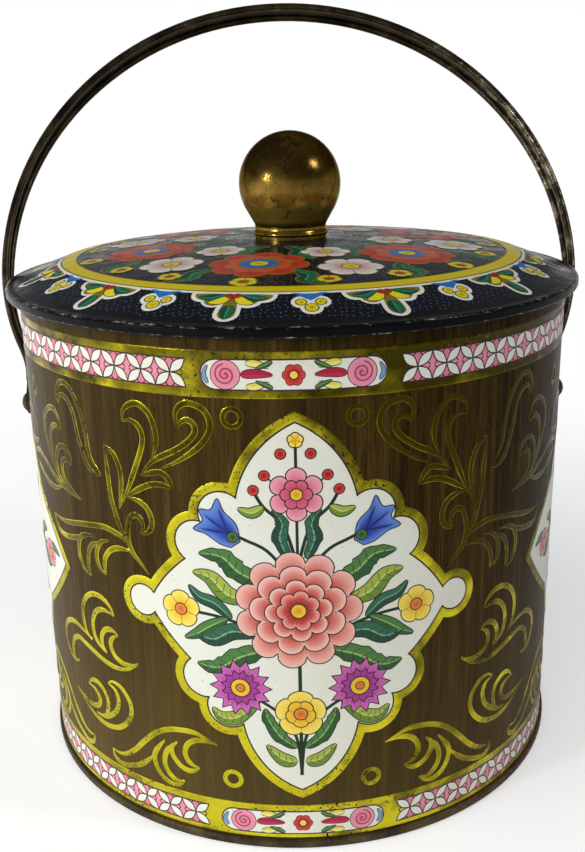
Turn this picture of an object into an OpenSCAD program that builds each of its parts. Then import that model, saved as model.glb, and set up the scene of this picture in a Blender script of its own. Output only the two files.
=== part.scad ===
// Round tinplate biscuit barrel: a body with a double-seamed base, a lift-off domed lid
// with a hollow brass ball knob, and a swinging bail handle on two shouldered rivets.
// The barrel stands on its base seam at z = 0 with its axis on Z. Its front faces -Y,
// and the handle turns about a line along X.

/* [Tin body] */
// Outside diameter of the body wall
body_d = 152; // [120:1:180]
// Height from the table to the top of the mouth curl
body_h = 134.8; // [110:0.2:180]
// Thickness of the tinplate
sheet = 0.4; // [0.3:0.05:0.5]
// Outside diameter of the curl round the mouth
mouth_curl_d = 2; // [1.6:0.1:2.4]
// Height of the double seam round the base
seam_h = 2.4; // [2:0.1:4]
// How far the double seam stands out from the wall
seam_out = 0.9; // [0.7:0.1:1.5]
// Height of the underside of the bottom panel above the table
panel_h = 2.6; // [2:0.1:5]
// Corner radius of the double seam
seam_corner_r = 0.6; // [0.5:0.05:0.8]
// Corner radius round the bottom panel
panel_corner_r = 0.7; // [0.5:0.05:1.2]
// Width of the folded side seam inside the back of the wall
side_seam_w = 5; // [3:0.5:8]
// Bare wall left between the side seam and the base, and between it and the lid plug
side_seam_end = 3; // [2:0.5:8]

/* [Lid] */
// How far the lip of the lid stands out from the wall
lid_out = 3.4; // [3.2:0.1:5]
// Depth of the downturned lip
lip_h = 2.6; // [2.2:0.1:4]
// How far the bottom edge of the lip is turned in
lip_turn = 1.1; // [0.8:0.1:1.2]
// Corner radius at the foot of the lip
lip_corner_r = 0.7; // [0.5:0.05:0.8]
// Corner radius between the lip and the rim
rim_corner_r = 0.9; // [0.5:0.05:1.2]
// Width of the flat rim inside the lip
rim_w = 2.2; // [2:0.1:3]
// Radius of the hollow between the rim and the shoulder
rim_hollow_r = 3; // [1:0.5:5]
// Width of the sloping shoulder
shoulder_w = 13; // [10:0.5:20]
// Rise of the sloping shoulder
shoulder_h = 4.8; // [3:0.1:8]
// Radius of the turn from the shoulder to the crown
crown_edge_r = 8; // [2:0.5:12]
// Rise of the crown above the shoulder
crown_h = 4.4; // [1:0.1:6]
// Depth of the plug below the mouth
plug_h = 8.6; // [5:0.2:20]
// Length of the tapered lead-in at the foot of the plug
plug_lead = 2; // [1:0.1:3]
// Radius of the turn into the tapered lead-in
plug_lead_r = 2; // [0.5:0.5:4]
// Corner radius between the plug and its flange
plug_corner_r = 0.5; // [0.45:0.05:0.7]
// Corner radius at the edge of the flange
flange_corner_r = 0.3; // [0.2:0.05:0.5]

/* [Knob] */
// Diameter of the ball
ball_d = 28.4; // [24.4:0.1:40]
// Diameter at which the ball runs into its tapered throat
throat_d = 24; // [22:0.1:24]
// Height above the foot at which the ball runs into its throat
throat_up = 7.2; // [6.6:0.1:10]
// Diameter of the neck at its waist
neck_d = 20; // [16:0.1:21]
// Radius of the hollow curve of the waist
waist_r = 2; // [1.2:0.1:2.6]
// Height of the straight part inside the neck
neck_h = 4; // [3:0.1:6]
// Outside diameter of the bead round the foot
foot_bead_d = 21.2; // [21.2:0.1:24]
// Thickness of the bead round the foot
foot_bead_h = 1.2; // [1:0.1:2]
// Height of the bead above the foot's edge
foot_bead_up = 0.9; // [0.3:0.1:2]
// Thickness of the knob's wall
knob_wall = 0.8; // [0.5:0.1:1.2]
// Thickness of the disc that closes the neck
disc_t = 1.4; // [1:0.1:2]
// Diameter of the boss on the disc
boss_d = 8; // [6.5:0.1:10]
// Height of the boss above the disc
boss_h = 7; // [5:0.1:10]
// Diameter of the knob screw
screw_d = 4; // [3:0.1:5]
// Length of the screw's thread inside the knob
screw_reach = 6.5; // [4:0.1:7]
// Diameter of the screw's head
screw_head_d = 7.8; // [7:0.1:10]
// Height of the screw's head
screw_head_h = 2.4; // [1.5:0.1:3]
// Width of the slot in the screw's head
slot_w = 1; // [0.8:0.1:1.4]
// Depth of the slot in the screw's head
slot_deep = 1.1; // [0.6:0.1:1.2]
// Diameter of the washer under the lid
knob_washer_d = 12; // [10:0.5:18]
// Thickness of the washer under the lid
knob_washer_t = 0.8; // [0.5:0.1:1.5]

/* [Bail handle] */
// How far the pivots lie below the mouth
pivot_drop = 36.3; // [30:0.1:45]
// How far the arch stands out beyond the lip of the lid
arch_out = 7.6; // [4:0.1:12]
// Height of the arch's centre above the pivots
arch_rise = 42; // [36:0.5:60]
// Width of the strip
strip_w = 8; // [7.4:0.1:12]
// Thickness of the strip between its rolled edges
web_t = 0.8; // [0.5:0.1:1.2]
// Diameter of the rolled edges
hem_d = 2.2; // [1.6:0.1:2.2]
// How far the rolled edges stand above the outer face of the strip
hem_proud = 0.2; // [0.1:0.05:0.4]
// Length over which the rolled edges run out on the flattened ends
hem_run = 3; // [2:0.5:5]
// Length of the flattened end above each pivot
flat_len = 6; // [5:0.5:10]
// Thickness of the flattened end
strap_t = 1.2; // [0.8:0.1:1.6]
// Radius of the outward bend above the flattened end
bend_r = 20; // [12:1:30]
// Width of the rounded eye at the pivot
eye_d = 7; // [6.4:0.1:8]
// Angle by which the handle leans back as it stands
bail_lean = 30; // [0:1:60]

/* [Pivots] */
// Diameter of the rivet inside the eye
pin_d = 3.2; // [2.6:0.1:3.6]
// Diameter of the rivet's shank through the wall
shank_d = 2.8; // [2:0.1:2.8]
// Diameter of the rivet's collar on the wall
collar_d = 5.6; // [4.6:0.1:7]
// Thickness of the rivet's collar
collar_t = 1.2; // [1.2:0.1:2]
// Diameter of the rivet's domed head
head_d = 6; // [5:0.1:8]
// Height of the rivet's domed head
head_h = 1.7; // [1:0.1:2.4]
// Diameter of the backing washer inside the wall
washer_d = 9; // [7:0.1:14]
// Thickness of the backing washer
washer_t = 0.8; // [0.5:0.1:1.5]
// Diameter of the rivet's closed end
clench_d = 4.8; // [4:0.1:6]
// Height of the rivet's closed end
clench_h = 0.9; // [0.6:0.1:1.5]

/* [Fits] */
// Gap between pieces that are fixed together
fit = 0.05; // [0.03:0.01:0.08]
// Gap all round the plug in the mouth
plug_gap = 0.3; // [0.2:0.05:0.6]
// Gap between the lid and the mouth it rests on
seat_gap = 0.3; // [0.2:0.05:0.5]
// Radial clearance of the eye on its rivet
running_fit = 0.05; // [0.03:0.01:0.09]
// Side play of the eye between the collar and the head
play = 0.15; // [0.1:0.05:0.3]

/* [Hidden] */
$fn = 96;
arc_steps = 6;
dome_steps = 10;
past = 1;
least_r = 0.05;
lap = 0.3;
lap_shrink = 0.02;

body_r = body_d / 2;
wall_in_r = body_r - sheet;
curl_r = mouth_curl_d / 2;
seam_r = body_r + seam_out;
lid_r = body_r + lid_out;
flange_z = body_h + seat_gap;
rim_z = flange_z + 2 * sheet;
lip_z = rim_z - lip_h;
shoulder_r = lid_r - rim_w - shoulder_w;
shoulder_z = rim_z + shoulder_h;
crown_z = shoulder_z + crown_h;
dome_r = (shoulder_r * shoulder_r + crown_h * crown_h) / (2 * crown_h);
plug_r = wall_in_r - plug_gap;
plug_z = body_h - plug_h;
screw_hole_r = screw_d / 2 + fit;
foot_z = dome_z(neck_d / 2) + fit;
ball_up = throat_up + sqrt(pow(ball_d / 2, 2) - pow(throat_d / 2, 2));
bead = [(foot_bead_d - foot_bead_h) / 2, foot_bead_up + foot_bead_h / 2];
waist_x = neck_d / 2 + waist_r;
waist_z = bead[1] + sqrt(pow(waist_r + foot_bead_h / 2, 2) - pow(waist_x - bead[0], 2));
waist = [waist_x, waist_z];
under_lid_z = dome_z(knob_washer_d / 2) - sheet - fit;
disc_z = crown_z + fit;

pivot_z = body_h - pivot_drop;
strap_x = body_r + fit + collar_t + play + strap_t + hem_proud;
arch_r = lid_r + arch_out;
bend_angle = 2 * atan((arch_r - strap_x) / (arch_rise - flat_len));
upper_bend_r = (arch_rise - flat_len) / sin(bend_angle) - bend_r;
hem_r = hem_d / 2;
washer_x = sqrt(pow(wall_in_r, 2) - pow(washer_d / 2, 2)) - fit;

// Height of the lid's crown at a distance from the axis
function dome_z(r) = crown_z - dome_r + sqrt(dome_r * dome_r - r * r);

function unit(v) = v / norm(v);
function left_of(v) = [-v[1], v[0]];
function turns_left(a, b) = a[0] * b[1] - a[1] * b[0] > 0;
function backwards(list) = [for (i = [len(list) - 1 : -1 : 0]) list[i]];

// Points of the arc that rounds corner q, between its neighbours p and s
function corner_arc(p, q, s, r) =
    let (
        to_p = unit(p - q),
        to_s = unit(s - q),
        half = acos(to_p * to_s) / 2,
        middle = q + unit(to_p + to_s) * r / sin(half),
        from = q + to_p * r / tan(half) - middle,
        upto = q + to_s * r / tan(half) - middle,
        sweep = 180 - 2 * half
    )
    [for (i = [0 : arc_steps])
        let (turn = sweep * i / arc_steps)
        middle + (from * sin(sweep - turn) + upto * sin(turn)) / sin(sweep)];

// A line of points with each corner rounded by its own radius
function rounded(points, radii) = [
    for (i = [0 : len(points) - 1])
        each (radii[i] > 0 ? corner_arc(points[i - 1], points[i], points[i + 1], radii[i]) : [points[i]])
];

// The same line moved to its left by the thickness t
function moved_left(points, t) =
    let (last = len(points) - 1)
    [for (i = [0 : last])
        let (
            before = left_of(unit(points[max(i, 1)] - points[max(i, 1) - 1])),
            after = left_of(unit(points[min(i, last - 1) + 1] - points[min(i, last - 1)]))
        )
        points[i] + t * (before + after) / (1 + before * after)];

// Corner radii on the left face of a sheet whose right face has the given radii
function left_radii(points, radii, t) = [
    for (i = [0 : len(points) - 1])
        radii[i] == 0 ? 0
        : turns_left(points[i] - points[i - 1], points[i + 1] - points[i]) ? max(radii[i] - t, least_r)
        : radii[i] + t
];

// A ring pressed from sheet, turned from the line of its right-hand face
module pressed_ring(points, radii, t) {
    rotate_extrude()
        polygon(concat(
            rounded(points, radii),
            backwards(rounded(moved_left(points, t), left_radii(points, radii, t)))
        ));
}

// A cylinder along X from x0 to x1
module x_rod(r, x0, x1) {
    translate([x0, 0, 0])
        rotate([0, 90, 0])
            cylinder(r = r, h = x1 - x0);
}

// Rolled tinplate wall: curled out at the mouth, turned out at the foot, with a lock seam
// folded to the inside at the back and a rivet hole on each side
module body_wall() {
    foot = sheet + fit;
    curl_x = wall_in_r + curl_r;
    curl_z = body_h - curl_r;
    seam_angle = 2 * asin(side_seam_w / 2 / wall_in_r);
    seam_top = plug_z - side_seam_end;
    seam_foot = panel_h + sheet + side_seam_end;
    seam_t = 2 * sheet;
    color([0.36, 0.22, 0.11])
        difference() {
            union() {
                rotate_extrude() {
                    translate([wall_in_r, foot])
                        square([sheet, curl_z - foot]);
                    translate([wall_in_r, foot])
                        square([seam_out - fit, sheet]);
                    translate([curl_x, curl_z])
                        difference() {
                            circle(r = curl_r);
                            circle(r = curl_r - sheet);
                            translate([-curl_r - past, -curl_r - past])
                                square([curl_r + past, curl_r + past]);
                        }
                }
                rotate([0, 0, 90 - seam_angle / 2])
                    translate([0, 0, seam_foot])
                        rotate_extrude(angle = seam_angle)
                            translate([wall_in_r - seam_t, 0])
                                square([seam_t + sheet / 2, seam_top - seam_foot]);
            }
            translate([0, 0, pivot_z])
                x_rod(shank_d / 2 + fit, -lid_r, lid_r);
        }
}

// Bottom pressing: a raised panel, a chuck wall, and a seam roll that holds the wall's foot
module bottom_end() {
    chuck_r = wall_in_r - fit - sheet;
    color([0.30, 0.20, 0.12])
        pressed_ring(
            [
                [0, panel_h], [chuck_r, panel_h], [chuck_r, 0],
                [seam_r, 0], [seam_r, seam_h], [body_r + fit, seam_h]
            ],
            [0, panel_corner_r, seam_corner_r, seam_corner_r, seam_corner_r, 0], sheet
        );
}

// Lid pressing: turned-in lip, flat rim, sloping shoulder and low crown
module lid_cover() {
    crown = [
        for (i = [dome_steps - 1 : -1 : 0])
            let (r = screw_hole_r + (shoulder_r - screw_hole_r) * i / dome_steps)
            [r, dome_z(r)]
    ];
    edge = [
        [lid_r - lip_turn, lip_z], [lid_r, lip_z], [lid_r, rim_z],
        [lid_r - rim_w, rim_z], [shoulder_r, shoulder_z]
    ];
    edge_radii = [0, lip_corner_r, rim_corner_r, rim_hollow_r, crown_edge_r];
    color([0.07, 0.08, 0.13])
        pressed_ring(concat(edge, crown), concat(edge_radii, [for (p = crown) 0]), sheet);
}

// Plug ring: a sleeve in the mouth whose flange is gripped inside the lip of the lid
module lid_plug() {
    grip_r = lid_r - 2 * sheet - fit;
    grip_z = lip_z + sheet + fit;
    color([0.72, 0.70, 0.64])
        pressed_ring(
            [
                [plug_r - plug_lead / 2, plug_z], [plug_r, plug_z + plug_lead], [plug_r, flange_z],
                [grip_r, flange_z], [grip_r, grip_z]
            ],
            [0, plug_lead_r, plug_corner_r, flange_corner_r, 0], sheet
        );
}

// Half outline of the knob's outside: the throat runs down into the hollow waist, and the
// waist into the bead
module knob_outside() {
    throat = [throat_d / 2, throat_up];
    lean = atan2(throat[1] - waist[1], throat[0] - waist[0]) + acos(waist_r / norm(throat - waist));
    waist_top = waist + waist_r * [cos(lean), sin(lean)];
    waist_foot = waist + waist_r * unit(bead - waist);
    intersection() {
        union() {
            translate([0, ball_up])
                circle(d = ball_d);
            difference() {
                polygon([
                    [0, 0], [neck_d / 2, 0], [neck_d / 2, bead[1]], waist_foot, waist_top, throat,
                    [0, throat_up]
                ]);
                translate(waist)
                    circle(r = waist_r);
            }
            translate(bead)
                circle(d = foot_bead_h);
        }
        square([ball_d, 2 * ball_d]);
    }
}

// Half outline of the knob's inside, open at the foot
module knob_inside() {
    intersection() {
        union() {
            translate([0, ball_up])
                circle(r = ball_d / 2 - knob_wall);
            polygon([
                [0, 0], [neck_d / 2 - knob_wall, 0], [neck_d / 2 - knob_wall, neck_h],
                [throat_d / 2 - knob_wall, throat_up], [0, throat_up]
            ]);
        }
        square([ball_d, 2 * ball_d]);
    }
}

// Spun brass ball with a tapered throat, a waisted neck and a bead round its foot
module knob_shell() {
    color([0.66, 0.52, 0.20])
        translate([0, 0, foot_z])
            rotate_extrude()
                difference() {
                    knob_outside();
                    knob_inside();
                }
}

// Disc soldered into the neck, with a tapped boss for the screw
module knob_base() {
    color([0.60, 0.48, 0.22])
        translate([0, 0, disc_z])
            difference() {
                union() {
                    cylinder(r = neck_d / 2 - knob_wall - fit, h = disc_t);
                    cylinder(d = boss_d, h = disc_t + boss_h);
                }
                translate([0, 0, -past])
                    cylinder(r = screw_hole_r, h = past + screw_reach + fit);
            }
}

// Slotted screw from under the lid into the knob's boss
module knob_screw() {
    head_z = under_lid_z - knob_washer_t - fit - screw_head_h;
    color([0.62, 0.60, 0.56])
        difference() {
            union() {
                translate([0, 0, head_z])
                    cylinder(d = screw_head_d, h = screw_head_h);
                translate([0, 0, head_z])
                    cylinder(d = screw_d, h = disc_z + screw_reach - head_z);
            }
            translate([-screw_head_d, -slot_w / 2, head_z - past])
                cube([2 * screw_head_d, slot_w, past + slot_deep]);
        }
}

// Washer between the screw's head and the underside of the lid
module knob_washer() {
    color([0.70, 0.69, 0.66])
        translate([0, 0, under_lid_z - knob_washer_t])
            difference() {
                cylinder(d = knob_washer_d, h = knob_washer_t);
                translate([0, 0, -past])
                    cylinder(r = screw_hole_r, h = knob_washer_t + 2 * past);
            }
}

// Section of the strip with its outer face at radius r: a thin web between two rolled
// edges, which lie towards the centre of the bend (side 1) or away from it (side -1).
// A small shrink lets one bend end inside the next.
module strip_section(r, side, shrink) {
    inner = r - side * (hem_proud + web_t - shrink);
    outer = r - side * (hem_proud + shrink);
    translate([min(inner, outer), hem_r - strip_w / 2])
        square([web_t - 2 * shrink, strip_w - hem_d]);
    for (edge = [-1, 1])
        translate([r - side * hem_r, edge * (strip_w / 2 - hem_r)])
            rotate(-90 * edge)
                circle(r = hem_r - shrink);
}

// A bend of the strip about the point x, h of the handle's own upright plane
module strip_bend(x, h, r, side, from, sweep, shrink = 0) {
    translate([x, 0, h])
        rotate([90, 0, 0])
            rotate([0, 0, from])
                rotate_extrude(angle = sweep)
                    strip_section(r, side, shrink);
}

// The bend that carries the arm from the arch to the lower bend, let into both
module upper_bend() {
    lap_angle = lap / upper_bend_r * 180 / PI;
    strip_bend(
        arch_r - upper_bend_r, arch_rise, upper_bend_r, 1,
        -bend_angle - lap_angle, bend_angle + 2 * lap_angle, lap_shrink
    );
}

// The bend that turns the arm upright again above its flattened end
module lower_bend() {
    strip_bend(strap_x + bend_r, flat_len, bend_r, -1, 180 - bend_angle, bend_angle);
}

// Flattened end of the strip, tapering to a rounded eye, with the rolled edges run out
module strap_end() {
    top = flat_len + lap;
    translate([strap_x - hem_proud - lap_shrink - strap_t, 0, 0])
        rotate([90, 0, 90])
            linear_extrude(strap_t) {
                circle(d = eye_d);
                polygon([
                    [-eye_d / 2, 0], [eye_d / 2, 0],
                    [strip_w / 2 - hem_r, top], [hem_r - strip_w / 2, top]
                ]);
            }
    for (edge = [-1, 1])
        translate([strap_x - hem_r, edge * (strip_w / 2 - hem_r), top - hem_run])
            cylinder(r1 = strap_t / 2, r2 = hem_r - lap_shrink, h = hem_run);
}

// Bail handle: a half-round arch whose arms bend in to flattened, drilled ends
module bail_handle() {
    color([0.33, 0.29, 0.18])
        translate([0, 0, pivot_z])
            rotate([-bail_lean, 0, 0])
                difference() {
                    for (side = [0, 1])
                        mirror([side, 0, 0]) {
                            strip_bend(0, arch_rise, arch_r, 1, 0, 90);
                            upper_bend();
                            lower_bend();
                            strap_end();
                        }
                    x_rod(pin_d / 2 + running_fit, -arch_r, arch_r);
                }
}

// Shouldered rivet on the +X side: domed head, pin, collar on the wall, shank and closed end
module pivot_rivet() {
    head_x = strap_x - hem_proud + play;
    collar_x = body_r + fit;
    end_x = washer_x - washer_t - fit;
    dome = (pow(head_d / 2, 2) + head_h * head_h) / (2 * head_h);
    color([0.58, 0.46, 0.20])
        translate([0, 0, pivot_z])
            rotate([0, 90, 0])
                rotate_extrude() {
                    intersection() {
                        translate([0, head_x + head_h - dome])
                            circle(r = dome);
                        translate([0, head_x])
                            square([head_d, 2 * head_h]);
                    }
                    polygon([
                        [0, end_x - clench_h], [(clench_d - clench_h) / 2, end_x - clench_h],
                        [clench_d / 2, end_x], [shank_d / 2, end_x], [shank_d / 2, collar_x],
                        [collar_d / 2, collar_x], [collar_d / 2, collar_x + collar_t],
                        [pin_d / 2, collar_x + collar_t],
                        [pin_d / 2, head_x + head_h / 2], [0, head_x + head_h / 2]
                    ]);
                }
}

// Washer that backs the thin wall on the +X side, inside the tin
module backing_washer() {
    color([0.68, 0.66, 0.60])
        translate([0, 0, pivot_z])
            difference() {
                x_rod(washer_d / 2, washer_x - washer_t, washer_x);
                x_rod(shank_d / 2 + fit, 0, body_r);
            }
}

body_wall();
bottom_end();
lid_cover();
lid_plug();
knob_shell();
knob_base();
knob_screw();
knob_washer();
bail_handle();
mirror([1, 0, 0]) pivot_rivet();  // pivot_rivet_left
pivot_rivet();  // pivot_rivet_right
mirror([1, 0, 0]) backing_washer();  // backing_washer_left
backing_washer();  // backing_washer_right
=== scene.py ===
import math

import bpy
from mathutils import Matrix, Vector


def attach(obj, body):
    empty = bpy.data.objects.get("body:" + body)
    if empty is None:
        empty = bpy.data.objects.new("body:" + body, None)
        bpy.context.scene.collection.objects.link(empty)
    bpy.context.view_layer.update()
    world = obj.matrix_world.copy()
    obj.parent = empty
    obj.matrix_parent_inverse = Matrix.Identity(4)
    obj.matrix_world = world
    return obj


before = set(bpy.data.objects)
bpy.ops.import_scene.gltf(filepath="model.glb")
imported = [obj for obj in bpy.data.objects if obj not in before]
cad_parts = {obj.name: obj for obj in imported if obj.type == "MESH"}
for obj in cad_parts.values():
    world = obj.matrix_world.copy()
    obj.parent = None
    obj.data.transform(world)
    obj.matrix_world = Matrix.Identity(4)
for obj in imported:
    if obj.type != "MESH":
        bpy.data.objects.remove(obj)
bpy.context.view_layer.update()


# Body wall: one sheet of tinplate, printed flat with a brown wood grain and varnished, then rolled
# up and lock-seamed at the back. Its inside is bare tin under a thin gold lacquer.

def feed(tree, node, inputs):
    """Sets the inputs of a node, or links them to what makes their values."""
    for name, value in inputs.items():
        if isinstance(value, bpy.types.NodeSocket):
            tree.links.new(value, node.inputs[name])
        else:
            node.inputs[name].default_value = value


def add(tree, kind, inputs=None, **settings):
    """A new node of a tree, with its settings made and its inputs fed."""
    made = tree.nodes.new(kind)
    for name, value in settings.items():
        setattr(made, name, value)
    feed(tree, made, inputs or {})
    return made


def colour(red, green, blue):
    """A colour as read off a screen, from 0 to 255, as the shader's own linear values."""
    shares = [value / 255 for value in (red, green, blue)]
    linear = [s / 12.92 if s <= 0.04045 else ((s + 0.055) / 1.055) ** 2.4 for s in shares]
    return (*linear, 1)


def new_finish(name):
    """A material with its node tree and its one shader."""
    material = bpy.data.materials.new(name)
    material.use_nodes = True
    return material, material.node_tree, material.node_tree.nodes["Principled BSDF"]


def object_place(tree, stretch=(1, 1, 1)):
    """Object coordinates in millimetres, stretched along the axes."""
    place = add(tree, "ShaderNodeTexCoord").outputs["Object"]
    scale = [1000 * share for share in stretch]
    return add(tree, "ShaderNodeMapping", {"Vector": place, "Scale": scale}).outputs["Vector"]


def axes_of(tree, place):
    """The X, Y and Z of a place."""
    return add(tree, "ShaderNodeSeparateXYZ", {0: place}).outputs


def noise(tree, place, scale, detail=3, roughness=0.5, distortion=0):
    """Noise with the scale in waves per millimetre."""
    values = {
        "Vector": place, "Scale": scale, "Detail": detail,
        "Roughness": roughness, "Distortion": distortion,
    }
    return add(tree, "ShaderNodeTexNoise", values).outputs["Fac"]


def ramp(tree, value, *stops):
    """A colour ramp through (position, colour) stops."""
    made = add(tree, "ShaderNodeValToRGB", {"Fac": value})
    points = made.color_ramp.elements
    while len(points) < len(stops):
        points.new(0.5)
    for point, (position, tone) in zip(points, stops):
        point.position = position
        point.color = tone
    return made.outputs["Color"]


def step(tree, value, low, high, start=0, end=1):
    """A smooth change from start to end as the value goes from low to high."""
    values = {"Value": value, "From Min": low, "From Max": high, "To Min": start, "To Max": end}
    return add(tree, "ShaderNodeMapRange", values, interpolation_type="SMOOTHSTEP").outputs["Result"]


def maths(tree, operation, first, second=0.0):
    """One sum on two values."""
    return add(tree, "ShaderNodeMath", {0: first, 1: second}, operation=operation).outputs["Value"]


def blend_tones(tree, share, first, second, how="MIX"):
    """Two colours mixed by a share."""
    made = add(tree, "ShaderNodeMix", data_type="RGBA", blend_type=how)
    feed(tree, made, {0: share, 6: first, 7: second})
    return made.outputs[2]


def relief(tree, skin, height, distance):
    """Fine relief on a shader, with its depth in metres."""
    bump = add(tree, "ShaderNodeBump", {"Height": height, "Distance": distance, "Strength": 1})
    tree.links.new(bump.outputs["Normal"], skin.inputs["Normal"])


def axis_distance(tree):
    """Distance from the tin's upright axis, in millimetres."""
    place = object_place(tree, (1, 1, 0))
    return add(tree, "ShaderNodeVectorMath", {0: place}, operation="LENGTH").outputs["Value"]


def wood_print():
    """Print of walnut grain under a thin varnish outside, lacquered tin inside. The grain is lightened
    towards the left as painted light and towards the bottom as a painted reflection of the pale floor.
    """
    material, tree, skin = new_finish("wood_print")
    side = axes_of(tree, object_place(tree))
    broad = noise(tree, object_place(tree, (1, 1, 0.06)), 0.13, 4, 0.6)
    streaks = noise(tree, object_place(tree, (1, 1, 0.03)), 0.62, 6, 0.7, 0.3)
    pores = noise(tree, object_place(tree, (1, 1, 0.06)), 2.4, 3, 0.6)
    broad_share = maths(tree, "MULTIPLY", broad, 0.45)
    figure = maths(tree, "ADD", broad_share, maths(tree, "MULTIPLY", streaks, 0.55))
    grain = ramp(
        tree, figure,
        (0.37, colour(25, 16, 6)), (0.46, colour(47, 34, 11)),
        (0.54, colour(65, 48, 17)), (0.64, colour(88, 68, 31)),
    )
    wood = blend_tones(tree, step(tree, pores, 0.54, 0.64, 0, 0.65), grain, colour(26, 16, 5))
    # Painted light: the wood turns lighter and greyer towards the bottom as a painted reflection of the pale
    # floor, and lighter towards the left as painted light from the lamps on that side.
    painted_floor_reflection = step(tree, side["Z"], 5, 90, 0.3, 0)
    painted_light_share = maths(tree, "ADD", painted_floor_reflection, step(tree, side["X"], -60, 40, 0.14, 0))
    wood_with_painted_light = blend_tones(tree, painted_light_share, wood, colour(110, 94, 54))
    scuffs = noise(tree, object_place(tree, (1, 1, 0.5)), 0.9, 5, 0.75, 1.2)
    scuffed = blend_tones(tree, step(tree, scuffs, 0.685, 0.73, 0, 0.45), wood_with_painted_light, colour(138, 122, 88))
    inside = step(tree, axis_distance(tree), OUTSIDE_R - INK_EDGE - 0.02, OUTSIDE_R - INK_EDGE + 0.02, 1, 0)
    tin_shade = noise(tree, object_place(tree), 0.05, 4)
    tin = blend_tones(tree, tin_shade, colour(176, 160, 118), colour(150, 132, 90))
    varnish = step(tree, streaks, 0.3, 0.7, 0.24, 0.36)
    feed(tree, skin, {
        "Base Color": blend_tones(tree, inside, scuffed, tin),
        "Metallic": maths(tree, "MULTIPLY", inside, 0.5),
        "Roughness": maths(tree, "MAXIMUM", varnish, maths(tree, "MULTIPLY", inside, 0.42)),
        "IOR": 1.12,
    })
    relief(tree, skin, noise(tree, object_place(tree, (1, 1, 0.4)), 0.05, 2), 0.0004)
    return material


def dress(node, material):
    """A CAD node takes a finish in place of its plain one."""
    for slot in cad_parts[node].material_slots:
        slot.material = material


OUTSIDE_R = 76.0
INK_EDGE = 0.2

dress("body_wall", wood_print())


# Gold print: transparent yellow lacquer over bright tin, so that it shines like brass leaf. It draws
# the scrolls, the rings and the grounds of the two bands, and is embossed a little from behind.

def flow(corners, steps=6):
    """A smooth line through a few points."""
    points = [Vector(corner) for corner in corners]
    last = len(points) - 1
    line = []
    for i in range(last):
        a, b, c, d = (points[min(max(i + k, 0), last)] for k in (-1, 0, 1, 2))
        for k in range(steps):
            t = k / steps
            line.append((
                2 * b + (c - a) * t + (2 * a - 5 * b + 4 * c - d) * t ** 2
                + (3 * b - a - 3 * c + d) * t ** 3
            ) / 2)
    return line + [points[-1]]


def circle(x, y, radius, count=24):
    """Points round a circle."""
    angles = [2 * math.pi * i / count for i in range(count)]
    return [Vector((x + radius * math.cos(a), y + radius * math.sin(a))) for a in angles]


def sideways(line, closed):
    """The direction to the left of a line at each of its points, longer at corners."""
    count = len(line)
    found = []
    for i, here in enumerate(line):
        before = line[i - 1] if closed or i else here
        after = line[(i + 1) % count] if closed or i < count - 1 else here
        came = (here - before if i or closed else after - here).normalized()
        goes = (after - here if i < count - 1 or closed else here - before).normalized()
        both = (came + goes).normalized() if (came + goes).length > 0.01 else goes
        found.append(Vector((-both.y, both.x)) / max(both.dot(came), 0.45))
    return found


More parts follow.
